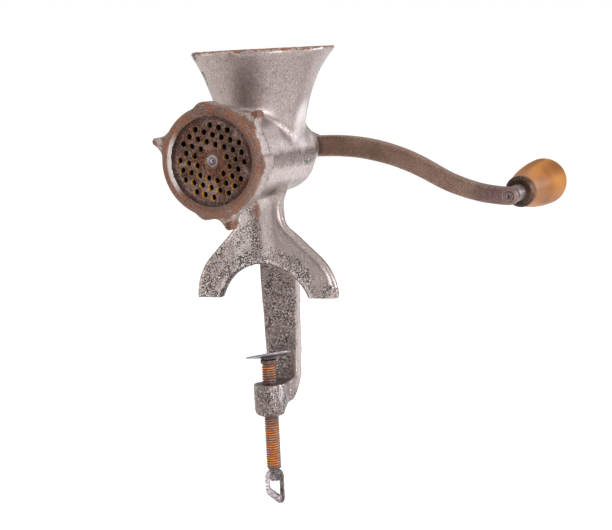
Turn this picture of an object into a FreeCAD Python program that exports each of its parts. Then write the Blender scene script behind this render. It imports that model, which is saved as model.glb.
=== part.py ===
"""Hand crank meat grinder with a table clamp, as separate pieces at their working places.

Millimetres, +Z up. The origin is on the clamp screw's axis, level with the undersides of the two
feet, where the tabletop is gripped. The barrel runs along Y: the meat leaves at -Y, the crank
turns at +Y, and the crank arm points to +X.
"""

import FreeCAD, Part
import math
import os
from types import SimpleNamespace

import Sketcher

# Driving dimensions
SIZES = {
    # fits
    "running_gap": 0.08,
    "seat_gap": 0.05,
    "loose_gap": 0.4,
    # barrel
    "axis_height": 90.0,
    "mouth_y": -59.25,
    "mouth_depth": 13.8,
    "nose_wall": 2.4,
    "nose_length": 16.0,
    "nose_taper_length": 7.0,
    "barrel_front_radius": 27.0,
    "barrel_rear_radius": 25.4,
    "barrel_rear_y": 34.0,
    "bore_radius": 21.5,
    "rear_wall": 5.0,
    "boss_radius": 13.5,
    "boss_end_y": 62.0,
    "boss_blend_radius": 20.0,
    "boss_blend_length": 14.0,
    "journal_radius": 9.0,
    # hopper, heights above the barrel axis
    "hopper_wall": 3.0,
    "throat_radius": 24.5,
    "throat_y": 9.5,
    "hopper_neck_radius": 27.4,
    "hopper_neck_height": 22.0,
    "hopper_mid_radius": 34.0,
    "hopper_mid_height": 44.0,
    "hopper_mid_y": 10.0,
    "hopper_rim_radius": 46.0,
    "hopper_rim_height": 64.4,
    "hopper_rim_y": 14.2,
    "rim_bead": 0.9,
    "rim_bead_height": 2.2,
    # fork that stands on the table
    "ridge_y": -4.75,
    "ridge_half_width": 3.0,
    "fork_sweep": 5.3,
    "fork_thickness": 8.0,
    "fork_rounding": 4.4,
    "fork_back_rounding": 2.4,
    "arch_rounding": 1.4,
    "arch_back_rounding": 4.5,
    "foot_outer": 49.4,
    "foot_inner": 30.5,
    "shoulder_arc": 36.0,
    "waist_half_width": 15.6,
    "waist_height": 54.4,
    "waist_arc": 16.4,
    "neck_flare": 21.0,
    "neck_half_width": 13.0,
    "neck_depth": 10.0,
    "arch_height": 21.4,
    "arch_arc": 32.4,
    # clamp arm
    "arm_front_y": 18.5,
    "arm_thickness": 7.5,
    "arm_top_height": 39.0,
    "arm_root_bottom": 27.0,
    "arm_top_half_width": 13.4,
    "arm_bottom_half_width": 9.9,
    "arm_outer_arc": 14.0,
    "arm_inner_arc": 7.0,
    "heel_arc": 31.0,
    "heel_height": -52.0,
    "web_bottom": -70.0,
    "web_front_y": 2.0,
    "web_half_width": 6.8,
    "web_lip": 3.0,
    "web_pocket_start": 4.5,
    "screw_boss_radius": 10.2,
    "screw_boss_top": -54.0,
    "screw_boss_length": 20.3,
    "screw_boss_rounding": 4.0,
    # ring nut
    "nut_lip": 2.75,
    "nut_length": 15.5,
    "nut_radius": 33.3,
    "nut_wall": 2.72,
    "nut_rounding": 3.0,
    "nut_overlap": 1.6,
    "nut_opening_flare": 3.6,
    "lug_rise": 9.0,
    "lug_tip_radius": 2.5,
    "lug_half_width": 9.0,
    "lug_flank_arc": 10.0,
    "lug_setback": 3.5,
    "lug_length": 8.5,
    "lug_angle": 42.0,
    "lug_root_gap": 0.8,
    "lobe_radius": 8.0,
    "lobe_rise": 2.3,
    "lobe_top_angle": 98.0,
    "lobe_low_angle": 259.0,
    "lobe_side_angle": 355.0,
    "lobe_setback": 1.6,
    # cutter plate and its key
    "plate_gap": 0.1,
    "plate_thickness": 5.5,
    "plate_proud": 1.0,
    "hole_radius": 1.9,
    "hole_pitch": 5.95,
    "hole_field_inner": 9.0,
    "hole_field_margin": 5.4,
    "hole_angle": 44.0,
    "key_radius": 2.0,
    "key_inset": 1.0,
    "key_angle": -71.0,
    # cutter knife
    "knife_gap": 4.3,
    "knife_blade_width": 9.0,
    "knife_blade_thickness": 4.2,
    "knife_hub_radius": 9.5,
    "knife_thickness": 8.0,
    # feed screw
    "stud_radius": 4.3,
    "stud_square": 9.4,
    "stud_shank_radius": 4.4,
    "stud_shank_length": 16.0,
    "stud_recess": 0.6,
    "stud_dimple_radius": 1.3,
    "auger_core_radius": 9.5,
    "auger_gap": 0.6,
    "auger_pitch": 23.0,
    "flight_root": 6.0,
    "flight_edge": 3.0,
    "flight_start": 4.0,
    "auger_shoulder_radius": 14.0,
    "auger_shoulder_length": 4.0,
    "thrust_washer_thickness": 1.6,
    "thrust_washer_radius": 13.0,
    "drive_square": 10.0,
    # crank
    "hub_gap": 1.2,
    "hub_radius": 9.4,
    "hub_length": 12.5,
    "drive_setback": 0.8,
    "arm_inset": 1.2,
    "crank_thickness": 7.6,
    "crank_bend_start": 18.0,
    "crank_half_hub": 6.9,
    "crank_half_mid": 6.2,
    "crank_half_end": 5.7,
    "crank_bend_share": 0.589,
    "crank_drop_share": 0.568,
    "crank_reach": 139.4,
    "crank_drop": 34.0,
    "crank_rounding": 2.4,
    # crank screw
    "crank_washer_radius": 8.6,
    "crank_washer_thickness": 1.6,
    "crank_screw_radius": 3.4,
    "crank_screw_depth": 18.0,
    "crank_screw_collar_radius": 7.5,
    "crank_screw_collar_length": 6.0,
    "wing_reach": 16.0,
    "wing_height": 13.0,
    "wing_thickness": 4.2,
    "wing_arc": 9.0,
    "wing_root": 6.0,
    "wing_shoulder_height": 9.1,
    "wing_top_reach": 11.2,
    "wing_under_arc": 18.0,
    "wing_tip_arc": 4.5,
    # handle, along its own axis from the middle of the crank arm
    "handle_rise": 3.2,
    "rivet_radius": 3.2,
    "rivet_dimple_radius": 1.1,
    "spindle_radius": 3.6,
    "shoulder_radius": 5.2,
    "shoulder_length": 13.0,
    "collar_radius": 10.0,
    "collar_thickness": 2.6,
    "collar_cup": 1.2,
    "collar_lip": 1.2,
    "collar_face_radius": 7.8,
    "collar_rim_radius": 8.2,
    "collar_floor_radius": 7.0,
    "grip_gap": 0.9,
    "grip_length": 58.0,
    "grip_near_radius": 9.4,
    "grip_belly_radius": 14.9,
    "grip_belly_at": 45.0,
    "grip_end_radius": 5.5,
    "grip_side_arc": 190.0,
    "grip_end_arc": 15.5,
    "grip_recess_depth": 2.4,
    "end_washer_radius": 5.0,
    "end_washer_thickness": 1.2,
    "end_rivet_radius": 4.4,
    "end_rivet_height": 1.8,
    "end_rivet_crown_radius": 3.5,
    "end_rivet_crown_height": 0.6,
    # clamp screw, heights below the feet
    "screw_radius": 4.7,
    "thread_depth": 0.75,
    "thread_pitch": 1.5,
    "thread_crest": 0.3,
    "thread_runout": 0.5,
    "thread_bottom": -108.2,
    "screw_neck_radius": 2.3,
    "screw_head_radius": 4.2,
    "screw_head_height": 0.8,
    "screw_head_top": 1.4,
    "screw_head_gap": 0.2,
    # clamp pad
    "pad_height": -35.1,
    "pad_radius": 14.1,
    "pad_rim": 1.8,
    "pad_edge": 1.3,
    "pad_dish_radius": 11.6,
    "pad_ball_radius": 5.5,
    "pad_foot_radius": 4.85,
    "pad_hole_radius": 3.4,
    "pad_lean": 11.2,
    "pad_lean_heading": 59.6,
    "pad_collar_radius": 5.1,
    "pad_cup_radius": 4.1,
    "pad_collar_thickness": 1.1,
    # wire-like loop that turns the clamp screw
    "loop_neck_radius": 1.6,
    "loop_gap": 0.3,
    "loop_rivet_radius": 2.45,
    "loop_rivet_height": 1.2,
    "loop_strip": 2.6,
    "loop_crown": 6.6,
    "loop_bar": 4.0,
    "loop_window_corner": 1.0,
    "loop_depth": 4.2,
    "loop_half_width": 5.8,
    "loop_short_side": 15.6,
    "loop_long_side": 24.8,
    "loop_corner": 4.8,
    "loop_blunt_run": 2.0,
    "loop_toe_run": 5.5,
    "loop_heading": 16.0,
}

LUG_COUNT = 3
BLADE_COUNT = 2
CLOSE = 0.01

doc = FreeCAD.newDocument("meat_grinder")
Vector = FreeCAD.Vector


class Size:
    """A length or an angle: its value, and the sheet expression that gives it."""

    def __init__(self, value, text):
        self.value = value
        self.text = text

    def __add__(self, other):
        other = as_size(other)
        return Size(self.value + other.value, f"({self.text} + {other.text})")

    def __sub__(self, other):
        other = as_size(other)
        return Size(self.value - other.value, f"({self.text} - {other.text})")

    def __mul__(self, other):
        other = as_size(other)
        return Size(self.value * other.value, f"({self.text} * {other.text})")

    def __truediv__(self, other):
        other = as_size(other)
        return Size(self.value / other.value, f"({self.text} / {other.text})")

    def __neg__(self):
        return Size(-self.value, f"(0 - {self.text})")


def as_size(item):
    """A plain number as a Size, and a Size as it is."""
    if isinstance(item, Size):
        return item
    return Size(float(item), f"({float(item):.9f})")


def sine(angle):
    """Sine of an angle in degrees."""
    return Size(math.sin(math.radians(angle.value)), f"sin({angle.text})")


def cosine(angle):
    """Cosine of an angle in degrees."""
    return Size(math.cos(math.radians(angle.value)), f"cos({angle.text})")


def root(size):
    """Square root."""
    return Size(math.sqrt(size.value), f"sqrt({size.text})")


def fill_sheet():
    """Put the driving dimensions in the sheet and return them as Sizes."""
    sheet = doc.addObject("Spreadsheet::Sheet", "Sizes")
    for row, (name, value) in enumerate(SIZES.items(), start=1):
        sheet.set(f"A{row}", name)
        sheet.set(f"B{row}", str(value))
        sheet.setAlias(f"B{row}", name)
    doc.recompute()
    return SimpleNamespace(**{name: Size(value, f"Sizes.{name}") for name, value in SIZES.items()})


S = fill_sheet()

# Turns that lay a shape's own axes along the object's axes
UPRIGHT = FreeCAD.Rotation()
ALONG_Y = FreeCAD.Rotation(Vector(1, 0, 0), -90)
FACING_FRONT = FreeCAD.Rotation(Vector(1, 0, 0), 90)
FACING_SIDE = FreeCAD.Rotation(Vector(1, 1, 1), 120)

# Stations along the barrel
PLATE_FRONT = S.mouth_y - S.plate_proud
PLATE_REAR = PLATE_FRONT + S.plate_thickness
NUT_SEAT = PLATE_FRONT - S.seat_gap
NUT_FRONT = NUT_SEAT - S.nut_lip
KNIFE_FRONT = PLATE_REAR + S.seat_gap
KNIFE_REAR = KNIFE_FRONT + S.knife_thickness
AUGER_FRONT = KNIFE_REAR + S.seat_gap
WALL_FRONT = S.barrel_rear_y - S.rear_wall
THRUST_FRONT = WALL_FRONT - S.seat_gap - S.thrust_washer_thickness
AUGER_REAR = THRUST_FRONT - S.seat_gap
HUB_FRONT = S.boss_end_y + S.hub_gap
HUB_REAR = HUB_FRONT + S.hub_length
CRANK_FRONT = HUB_FRONT + S.arm_inset
CRANK_MIDDLE = CRANK_FRONT + S.crank_thickness / 2

# Radii that fit one piece to another
JOURNAL_BORE = S.journal_radius + S.running_gap
SCREW_BORE = S.screw_radius + S.running_gap
NUT_BORE = S.nut_radius - S.nut_wall
NOSE_RADIUS = NUT_BORE - S.running_gap
MOUTH_RADIUS = NOSE_RADIUS - S.nose_wall
PLATE_RADIUS = MOUTH_RADIUS - S.plate_gap
NUT_OPENING = PLATE_RADIUS - S.nut_overlap
KEY_REACH = PLATE_RADIUS - S.key_inset
KNIFE_REACH = MOUTH_RADIUS - S.knife_gap
AUGER_RADIUS = S.bore_radius - S.auger_gap

# Clamp screw stations below the feet
CUP_RADIUS = S.pad_ball_radius + S.seat_gap
CUP_TOP = S.pad_height - root(CUP_RADIUS * CUP_RADIUS - S.pad_cup_radius * S.pad_cup_radius)
COLLAR_HOLE = S.screw_neck_radius + S.running_gap
CUP_FLOOR = S.pad_height - root(CUP_RADIUS * CUP_RADIUS - COLLAR_HOLE * COLLAR_HOLE)
COLLAR_UNDER = CUP_FLOOR - S.pad_collar_thickness
SCREW_SHOULDER = COLLAR_UNDER - S.seat_gap
THREAD_TOP = SCREW_SHOULDER - S.thread_runout
LOOP_TOP = S.thread_bottom - S.loop_gap


def follow(item, **sizes):
    """Tie an item's properties, or its place x, y and z, to the sheet."""
    for name, size in sizes.items():
        path = f"Placement.Base.{name}" if name in ("x", "y", "z") else name
        item.setExpression(path, as_size(size).text)
    return item


def primitive(kind, label, turn=UPRIGHT, **sizes):
    """A Part primitive whose sizes and place follow the sheet."""
    item = doc.addObject(f"Part::{kind}", label)
    item.Placement = FreeCAD.Placement(Vector(), turn)
    return follow(item, **sizes)


def rod(label, radius, start, end):
    """A cylinder on the barrel axis between two stations along Y."""
    return primitive(
        "Cylinder", label, ALONG_Y, Radius=radius, Height=end - start, y=start, z=S.axis_height)


def post(label, radius, bottom, top):
    """A cylinder on the clamp screw's axis between two heights."""
    return primitive("Cylinder", label, Radius=radius, Height=top - bottom, z=bottom)


def square_bar(label, side, start, end):
    """A square bar on the barrel axis between two stations along Y."""
    return primitive(
        "Box", label, Length=side, Width=end - start, Height=side,
        x=-side / 2, y=start, z=S.axis_height - side / 2,
    )


def joined(label, *items):
    """One solid made of several."""
    item = doc.addObject("Part::MultiFuse", label)
    item.Shapes = list(items)
    item.Refine = True
    return item


def cut(label, base, *tools):
    """A solid with other solids taken out of it, one after another."""
    for index, tool in enumerate(tools, start=1):
        last = index == len(tools)
        item = doc.addObject("Part::Cut", label if last else f"{label}_stage")
        item.Base = base
        item.Tool = tool
        item.Refine = last
        base = item
    return base


def group(label, *items):
    """Solids that stand apart, taken as one tool."""
    item = doc.addObject("Part::Compound", label)
    item.Links = list(items)
    return item


def shared(label, first, second):
    """The solid that two solids have in common."""
    item = doc.addObject("Part::Common", label)
    item.Base = first
    item.Tool = second
    return item


def rounded(label, base, radius, pick):
    """A solid with the edges that pick accepts rounded off."""
    doc.recompute()
    item = doc.addObject("Part::Fillet", label)
    item.Base = base
    edges = enumerate(base.Shape.Edges, start=1)
    item.Edges = [(number, radius.value, radius.value) for number, edge in edges if pick(edge)]
    return item


def arc_between(start, end, radius, side):
    """The arc of under a half circle from start to end, its centre left (+1) or right (-1) of the way."""
    chord = end - start
    middle = (start + end) * 0.5
    rise = math.sqrt(radius ** 2 - (chord.Length / 2) ** 2)
    across = Vector(-chord.y, chord.x, 0).normalize() * (rise * side)
    centre = middle + across
    first, last = (start, end) if side > 0 else (end, start)
    angles = [math.atan2(point.y - centre.y, point.x - centre.x) for point in (first, last)]
    return Part.ArcOfCircle(Part.Circle(centre, Vector(0, 0, 1), radius), *angles)


def draw(sketch, corners):
    """Draw a closed outline in a sketch.

    A corner is (x, y), or (x, y, radius, side) where an arc leads on to the next corner.
    """
    corners = [(as_size(corner[0]), as_size(corner[1]), *corner[2:]) for corner in corners]
    points = [Vector(corner[0].value, corner[1].value, 0) for corner in corners]
    ends = []
    for index, corner in enumerate(corners):
        start, end = points[index], points[(index + 1) % len(points)]
        if len(corner) == 2:
            sketch.addGeometry(Part.LineSegment(start, end), False)
            ends.append((1, 2))
        else:
            radius, side = corner[2], corner[3]
            edge = sketch.addGeometry(arc_between(start, end, radius.value, side), False)
            ends.append((1, 2) if side > 0 else (2, 1))
            tie(sketch, Sketcher.Constraint("Radius", edge, radius.value), radius)
    first_edge = sketch.GeometryCount - len(corners)
    for index, corner in enumerate(corners):
        following = (index + 1) % len(corners)
        sketch.addConstraint(Sketcher.Constraint(
            "Coincident", first_edge + index, ends[index][1], first_edge + following, ends[following][0]))
        spot = (-1, 1, first_edge + index, ends[index][0])
        tie(sketch, Sketcher.Constraint("DistanceX", *spot, corner[0].value), corner[0])
        tie(sketch, Sketcher.Constraint("DistanceY", *spot, corner[1].value), corner[1])


def tie(sketch, constraint, size):
    """Add a constraint whose value follows the sheet."""
    number = sketch.addConstraint(constraint)
    sketch.setExpression(f"Constraints[{number}]", size.text)


def extruded(label, corners, length, turn=UPRIGHT, **place):
    """A closed outline pushed out along its normal."""
    sketch = doc.addObject("Sketcher::SketchObject", f"{label}_outline")
    sketch.Placement = FreeCAD.Placement(Vector(), turn)
    follow(sketch, **place)
    draw(sketch, corners)
    item = doc.addObject("Part::Extrusion", label)
    item.Base = sketch
    item.DirMode = "Normal"
    item.Solid = True
    return follow(item, LengthFwd=length)


def turned(label, corners, turn=UPRIGHT, **place):
    """A round piece: a closed outline of (radius, height) corners, turned about its own Z axis."""
    body = doc.addObject("PartDesign::Body", label)
    plane = next(item for item in body.Origin.OriginFeatures if item.Role == "XZ_Plane")
    sketch = body.newObject("Sketcher::SketchObject", f"{label}_profile")
    sketch.AttachmentSupport = [(plane, "")]
    sketch.MapMode = "FlatFace"
    draw(sketch, corners)
    spin = body.newObject("PartDesign::Revolution", f"{label}_turning")
    spin.Profile = sketch
    spin.ReferenceAxis = (sketch, ["V_Axis"])
    spin.Angle = 360
    body.Tip = spin
    body.Placement = FreeCAD.Placement(Vector(), turn)
    return follow(body, **place)


def ring(label, outer, inner, thickness, turn=UPRIGHT, **place):
    """A flat washer that starts at its place and is as thick as it says along its own Z axis."""
    return turned(label, [(inner, 0), (outer, 0), (outer, thickness), (inner, thickness)], turn, **place)


def helix_bar(label, corners, radius, pitch, height, turn=UPRIGHT, **place):
    """An outline of (radius, height) corners swept along a right-hand helix."""
    path = doc.addObject("Part::Helix", f"{label}_path")
    follow(path, Pitch=pitch, Height=height, Radius=radius)
    sketch = doc.addObject("Sketcher::SketchObject", f"{label}_profile")
    sketch.Placement = FreeCAD.Placement(Vector(), FACING_FRONT)
    draw(sketch, corners)
    doc.recompute()
    item = doc.addObject("Part::Sweep", label)
    item.Sections = [sketch]
    item.Spine = (path, [f"Edge{number + 1}" for number in range(len(path.Shape.Edges))])
    item.Solid = True
    item.Frenet = True
    item.Placement = FreeCAD.Placement(Vector(), turn)
    return follow(item, **place)


def round_the_axis(angle):
    """A turn that lays a sketch's x axis outward at an angle round the barrel, its normal along +Y."""
    turn = math.radians(angle)
    outward = Vector(math.cos(turn), 0, math.sin(turn))
    along = Vector(0, 1, 0)
    return FreeCAD.Rotation(outward, along.cross(outward), along, "ZXY")


def hopper_form(label, inset):
    """The flared hopper, smaller all round by inset, from the barrel axis to the rim."""
    levels = [
        (S.throat_radius, S.throat_y, as_size(0)),
        (S.hopper_neck_radius, S.throat_y, S.hopper_neck_height),
        (S.hopper_mid_radius, S.hopper_mid_y, S.hopper_mid_height),
        (S.hopper_rim_radius, S.hopper_rim_y, S.hopper_rim_height),
    ]
    form = doc.addObject("Part::Loft", label)
    form.Sections = [
        primitive("Circle", f"{label}_level", Radius=radius - inset, y=middle, z=S.axis_height + height)
        for radius, middle, height in levels
    ]
    form.Solid = True
    return form


def rim_bead():
    """The band that thickens the hopper's rim, with the mouth left open."""
    top = S.axis_height + S.hopper_rim_height
    inner = S.hopper_rim_radius - S.hopper_wall
    return ring(
        "rim_bead", S.hopper_rim_radius + S.rim_bead, inner, S.rim_bead_height,
        y=S.hopper_rim_y, z=top - S.rim_bead_height,
    )


def barrel_form():
    """The barrel's outside: threaded nose, tapered tube and rear bearing boss."""
    nose_end = S.mouth_y + S.nose_length
    tube_start = nose_end + S.nose_taper_length
    axis = {"turn": ALONG_Y, "z": S.axis_height}
    nose = rod("nose", NOSE_RADIUS, S.mouth_y, nose_end)
    taper = primitive(
        "Cone", "nose_taper", Radius1=NOSE_RADIUS, Radius2=S.barrel_front_radius,
        Height=S.nose_taper_length, y=nose_end, **axis)
    tube = primitive(
        "Cone", "tube", Radius1=S.barrel_front_radius, Radius2=S.barrel_rear_radius,
        Height=S.barrel_rear_y - tube_start, y=tube_start, **axis)
    blend = primitive(
        "Cone", "boss_blend", Radius1=S.boss_blend_radius, Radius2=S.boss_radius,
        Height=S.boss_blend_length, y=S.barrel_rear_y, **axis)
    boss = rod("bearing_boss", S.boss_radius, WALL_FRONT, S.boss_end_y)
    return [nose, taper, tube, blend, boss]


def fork_leg(turn):
    """One leg of the fork, from the front ridge's edge out to its foot, with its long edges rounded."""
    top = S.axis_height - S.barrel_rear_radius / 2
    ridge = S.ridge_half_width
    shoulder_x = S.foot_outer - S.shoulder_arc
    waist_x = S.waist_half_width + S.waist_arc
    apart_x = waist_x - shoulder_x
    apart_z = S.waist_height
    apart = root(apart_x * apart_x + apart_z * apart_z)
    near = (S.shoulder_arc + S.waist_arc) / apart
    aside = root(as_size(1) - near * near)
    out_x = (apart_x * near + apart_z * aside) / apart
    out_z = (apart_z * near - apart_x * aside) / apart
    flare = sine(S.neck_flare) / cosine(S.neck_flare)
    flare_x = waist_x - S.waist_arc * cosine(S.neck_flare)
    flare_z = S.waist_height + S.waist_arc * sine(S.neck_flare)
    blank = extruded(
        "fork_leg",
        [
            (S.foot_inner - ridge, 0),
            (S.foot_outer - ridge, 0, S.shoulder_arc, 1),
            (shoulder_x + S.shoulder_arc * out_x - ridge, S.shoulder_arc * out_z),
            (waist_x - S.waist_arc * out_x - ridge, S.waist_height - S.waist_arc * out_z, S.waist_arc, -1),
            (flare_x - ridge, flare_z),
            (flare_x + (top - flare_z) * flare - ridge, top),
            (0, top),
            (0, S.arch_height, S.arch_arc, -1),
        ],
        S.fork_thickness, turn, x=ridge, y=S.ridge_y,
    )
    blank.Reversed = True
    corner = Vector(ridge.value, S.ridge_y.value, 0)
    arch_reach = S.arch_arc.value

    def place(edge):
        """Middle of an edge in the leg's own outline, and how far behind the front it is."""
        middle = turn.inverted().multVec(edge.CenterOfMass - corner)
        return middle.x, middle.y, -middle.z

    def on_rim(edge):
        """An edge along the outline, and not its top, its ground line or its end at the ridge."""
        across, up, behind = place(edge)
        at_a_face = min(abs(behind), abs(behind - S.fork_thickness.value)) < CLOSE
        return at_a_face and across > CLOSE and CLOSE < up < top.value - CLOSE

    def on_arch(edge):
        """A rim edge along the arch between the feet."""
        across, up, _ = place(edge)
        return on_rim(edge) and math.hypot(across, up) < arch_reach

    def in_front(edge):
        """An edge in the front face."""
        return abs(place(edge)[2]) < CLOSE

    def arch_front(edge):
        """The arch's edge in the front face."""
        return on_arch(edge) and in_front(edge)

    def arch_back(edge):
        """The arch's edge in the rear face."""
        return on_arch(edge) and not in_front(edge)

    def rim_front(edge):
        """A rim edge in the front face."""
        return on_rim(edge) and in_front(edge)

    def rim_back(edge):
        """A rim edge in the rear face."""
        return on_rim(edge) and not in_front(edge)

    leg = rounded("leg_arch_front", blank, S.arch_rounding, arch_front)
    leg = rounded("leg_arch_back", leg, S.arch_back_rounding, arch_back)
    leg = rounded("leg_back", leg, S.fork_back_rounding, rim_back)
    return rounded("leg_front", leg, S.fork_rounding, rim_front)


def fork_form():
    """The forked foot: two legs swept back a little from a flat front ridge, and the neck behind them."""
    top = S.axis_height - S.barrel_rear_radius / 2
    swept = FreeCAD.Rotation(Vector(0, 0, 1), S.fork_sweep.value)
    right = fork_leg(swept.multiply(FACING_FRONT))
    left = doc.addObject("Part::Mirroring", "fork_leg_mirrored")
    left.Source = right
    left.Normal = Vector(1, 0, 0)
    ridge = primitive(
        "Box", "ridge", Length=S.ridge_half_width * 2, Width=S.fork_thickness, Height=top - S.arch_height,
        x=-S.ridge_half_width, y=S.ridge_y, z=S.arch_height,
    )
    neck = primitive(
        "Box", "neck", Length=S.neck_half_width * 2, Width=S.neck_depth, Height=top - S.arm_root_bottom,
        x=-S.neck_half_width, z=S.arm_root_bottom,
    )
    return [right, left, ridge, neck]


def clamp_arm_form():
    """The clamp's back: from behind the fork down and forward to the boss that takes the screw."""
    back = S.arm_front_y + S.arm_thickness
    boss_bottom = S.screw_boss_top - S.screw_boss_length
    side = extruded(
        "arm_side_view",
        [
            (0, S.web_bottom),
            (S.web_front_y, S.web_bottom, S.heel_arc, 1),
            (back, S.heel_height),
            (back, S.arm_top_height - S.arm_outer_arc, S.arm_outer_arc, 1),
            (back - S.arm_outer_arc, S.arm_top_height),
            (0, S.arm_top_height),
            (0, S.arm_root_bottom),
            (S.arm_front_y - S.arm_inner_arc, S.arm_root_bottom, S.arm_inner_arc, -1),
            (S.arm_front_y, S.arm_root_bottom - S.arm_inner_arc),
            (S.arm_front_y, S.screw_boss_top + S.arm_inner_arc, S.arm_inner_arc, -1),
            (S.arm_front_y - S.arm_inner_arc, S.screw_boss_top),
            (0, S.screw_boss_top),
        ],
        S.arm_top_half_width * 2, FACING_SIDE, x=-S.arm_top_half_width,
    )
    front = extruded(
        "arm_front_view",
        [
            (-S.arm_bottom_half_width, boss_bottom),
            (S.arm_bottom_half_width, boss_bottom),
            (S.arm_top_half_width, S.arm_top_height),
            (-S.arm_top_half_width, S.arm_top_height),
        ],
        back, FACING_FRONT, y=back,
    )
    pocket_depth = S.arm_top_half_width - S.web_half_width
    pockets = [
        extruded(
            label,
            [
                (S.web_pocket_start, S.web_bottom + S.arm_thickness, S.heel_arc - S.arm_thickness, 1),
                (S.arm_front_y, S.heel_height),
                (S.arm_front_y - S.arm_inner_arc, S.screw_boss_top - S.web_lip),
                (S.web_pocket_start, S.screw_boss_top - S.web_lip),
            ],
            pocket_depth, FACING_SIDE, x=start,
        )
        for label, start in (("pocket_right", S.web_half_width), ("pocket_left", -S.arm_top_half_width))
    ]
    return cut("clamp_arm", shared("clamp_arm_blank", side, front), *pockets)


def screw_boss_form():
    """The round boss at the clamp's end, rounded underneath."""
    bottom = S.screw_boss_top - S.screw_boss_length
    rounding = S.screw_boss_rounding
    return turned(
        "screw_boss",
        [
            (0, bottom),
            (S.screw_boss_radius - rounding, bottom, rounding, 1),
            (S.screw_boss_radius, bottom + rounding),
            (S.screw_boss_radius, S.screw_boss_top),
            (0, S.screw_boss_top),
        ],
    )


def key_place():
    """Where the plate's key stands round the barrel axis, as x and z."""
    x = KEY_REACH * cosine(S.key_angle)
    z = S.axis_height + KEY_REACH * sine(S.key_angle)
    return x, z


def key_rod(label, radius, start, end):
    """A cylinder at the plate key's place between two stations along Y."""
    x, z = key_place()
    return primitive("Cylinder", label, ALONG_Y, Radius=radius, Height=end - start, x=x, y=start, z=z)


def body_casting():
    """Hopper, barrel, forked foot, clamp arm and screw boss, cast as one."""
    boss_bottom = S.screw_boss_top - S.screw_boss_length
    recess_end = S.mouth_y + S.mouth_depth
    walls = joined(
        "casting_walls", hopper_form("hopper", as_size(0)), rim_bead(), *barrel_form(), *fork_form(),
        clamp_arm_form(), screw_boss_form(),
    )
    return cut(
        "body_casting", walls,
        hopper_form("hopper_inside", S.hopper_wall),
        rod("mouth_recess", MOUTH_RADIUS, S.mouth_y, recess_end),
        rod("bore", S.bore_radius, recess_end, WALL_FRONT),
        rod("journal_bore", JOURNAL_BORE, WALL_FRONT, S.boss_end_y),
        key_rod("key_groove", S.key_radius + S.seat_gap, S.mouth_y, recess_end),
        post("screw_bore", SCREW_BORE, boss_bottom, S.screw_boss_top),
    )


def lug(index):
    """One of the ears that the ring nut is turned by."""
    angle = S.lug_angle.value + index * 360 / LUG_COUNT
    reach = S.nut_radius + S.lug_rise
    tip = reach - S.lug_tip_radius
    inner = NOSE_RADIUS + S.lug_root_gap
    return extruded(
        f"lug_{index + 1}",
        [
            (inner, -S.lug_half_width),
            (S.nut_radius, -S.lug_half_width, S.lug_flank_arc, -1),
            (tip, -S.lug_tip_radius, S.lug_tip_radius, 1),
            (reach, 0, S.lug_tip_radius, 1),
            (tip, S.lug_tip_radius, S.lug_flank_arc, -1),
            (S.nut_radius, S.lug_half_width),
            (inner, S.lug_half_width),
        ],
        S.lug_length, round_the_axis(angle), y=NUT_FRONT + S.lug_setback, z=S.axis_height,
    )


def lobe(label, angle):
    """A low swell on the ring nut between two ears."""
    middle = S.nut_radius + S.lobe_rise - S.lobe_radius
    start = NUT_FRONT + S.lobe_setback
    return primitive(
        "Cylinder", label, ALONG_Y, Radius=S.lobe_radius, Height=S.nut_length - S.lobe_setback,
        x=middle * cosine(angle), y=start, z=S.axis_height + middle * sine(angle),
    )


def ring_nut():
    """The nut that holds the plate in the barrel's mouth."""
    length = S.nut_length
    blank = turned(
        "nut_blank",
        [
            (0, 0),
            (S.nut_radius - S.nut_rounding, 0, S.nut_rounding, 1),
            (S.nut_radius, S.nut_rounding),
            (S.nut_radius, length),
            (0, length),
        ],
        ALONG_Y, y=NUT_FRONT, z=S.axis_height,
    )
    ears = [lug(index) for index in range(LUG_COUNT)]
    lobes = [
        lobe("lobe_top", S.lobe_top_angle), lobe("lobe_low", S.lobe_low_angle),
        lobe("lobe_side", S.lobe_side_angle),
    ]
    opening = primitive(
        "Cone", "nut_opening", ALONG_Y, Radius1=NUT_OPENING + S.nut_opening_flare, Radius2=NUT_OPENING,
        Height=S.nut_lip, y=NUT_FRONT, z=S.axis_height,
    )
    thread = rod("nut_thread", NUT_BORE, NUT_SEAT, NUT_FRONT + length)
    return cut("ring_nut", joined("nut_form", blank, *ears, *lobes), opening, thread)


def cutter_plate():
    """The hardened plate with its close field of holes, centre bearing hole and key notch."""
    blank = rod("plate_blank", PLATE_RADIUS, PLATE_FRONT, PLATE_REAR)
    centre = rod("plate_bearing", S.stud_radius + S.running_gap, PLATE_FRONT, PLATE_REAR)
    notch = key_rod("plate_notch", S.key_radius + S.plate_gap, PLATE_FRONT, PLATE_REAR)
    return cut("cutter_plate", blank, centre, notch, group("plate_holes", *plate_holes()))


def plate_holes():
    """Holes on a triangular grid, in a ring that leaves the bearing hole and the edge whole."""
    field = PLATE_RADIUS - S.hole_field_margin
    reach = math.ceil(field.value / S.hole_pitch.value) + 1
    turn = math.radians(S.hole_angle.value)
    holes = []
    for row in range(-reach, reach + 1):
        for column in range(-reach, reach + 1):
            across = column + row / 2
            up = row * math.sqrt(3) / 2
            distance = math.hypot(across, up) * S.hole_pitch.value
            if not S.hole_field_inner.value < distance < field.value:
                continue
            x = S.hole_pitch * (across * math.cos(turn) - up * math.sin(turn))
            z = S.hole_pitch * (across * math.sin(turn) + up * math.cos(turn))
            holes.append(primitive(
                "Cylinder", "plate_hole", ALONG_Y, Radius=S.hole_radius, Height=S.plate_thickness,
                x=x, y=PLATE_FRONT, z=S.axis_height + z,
            ))
    return holes


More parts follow.
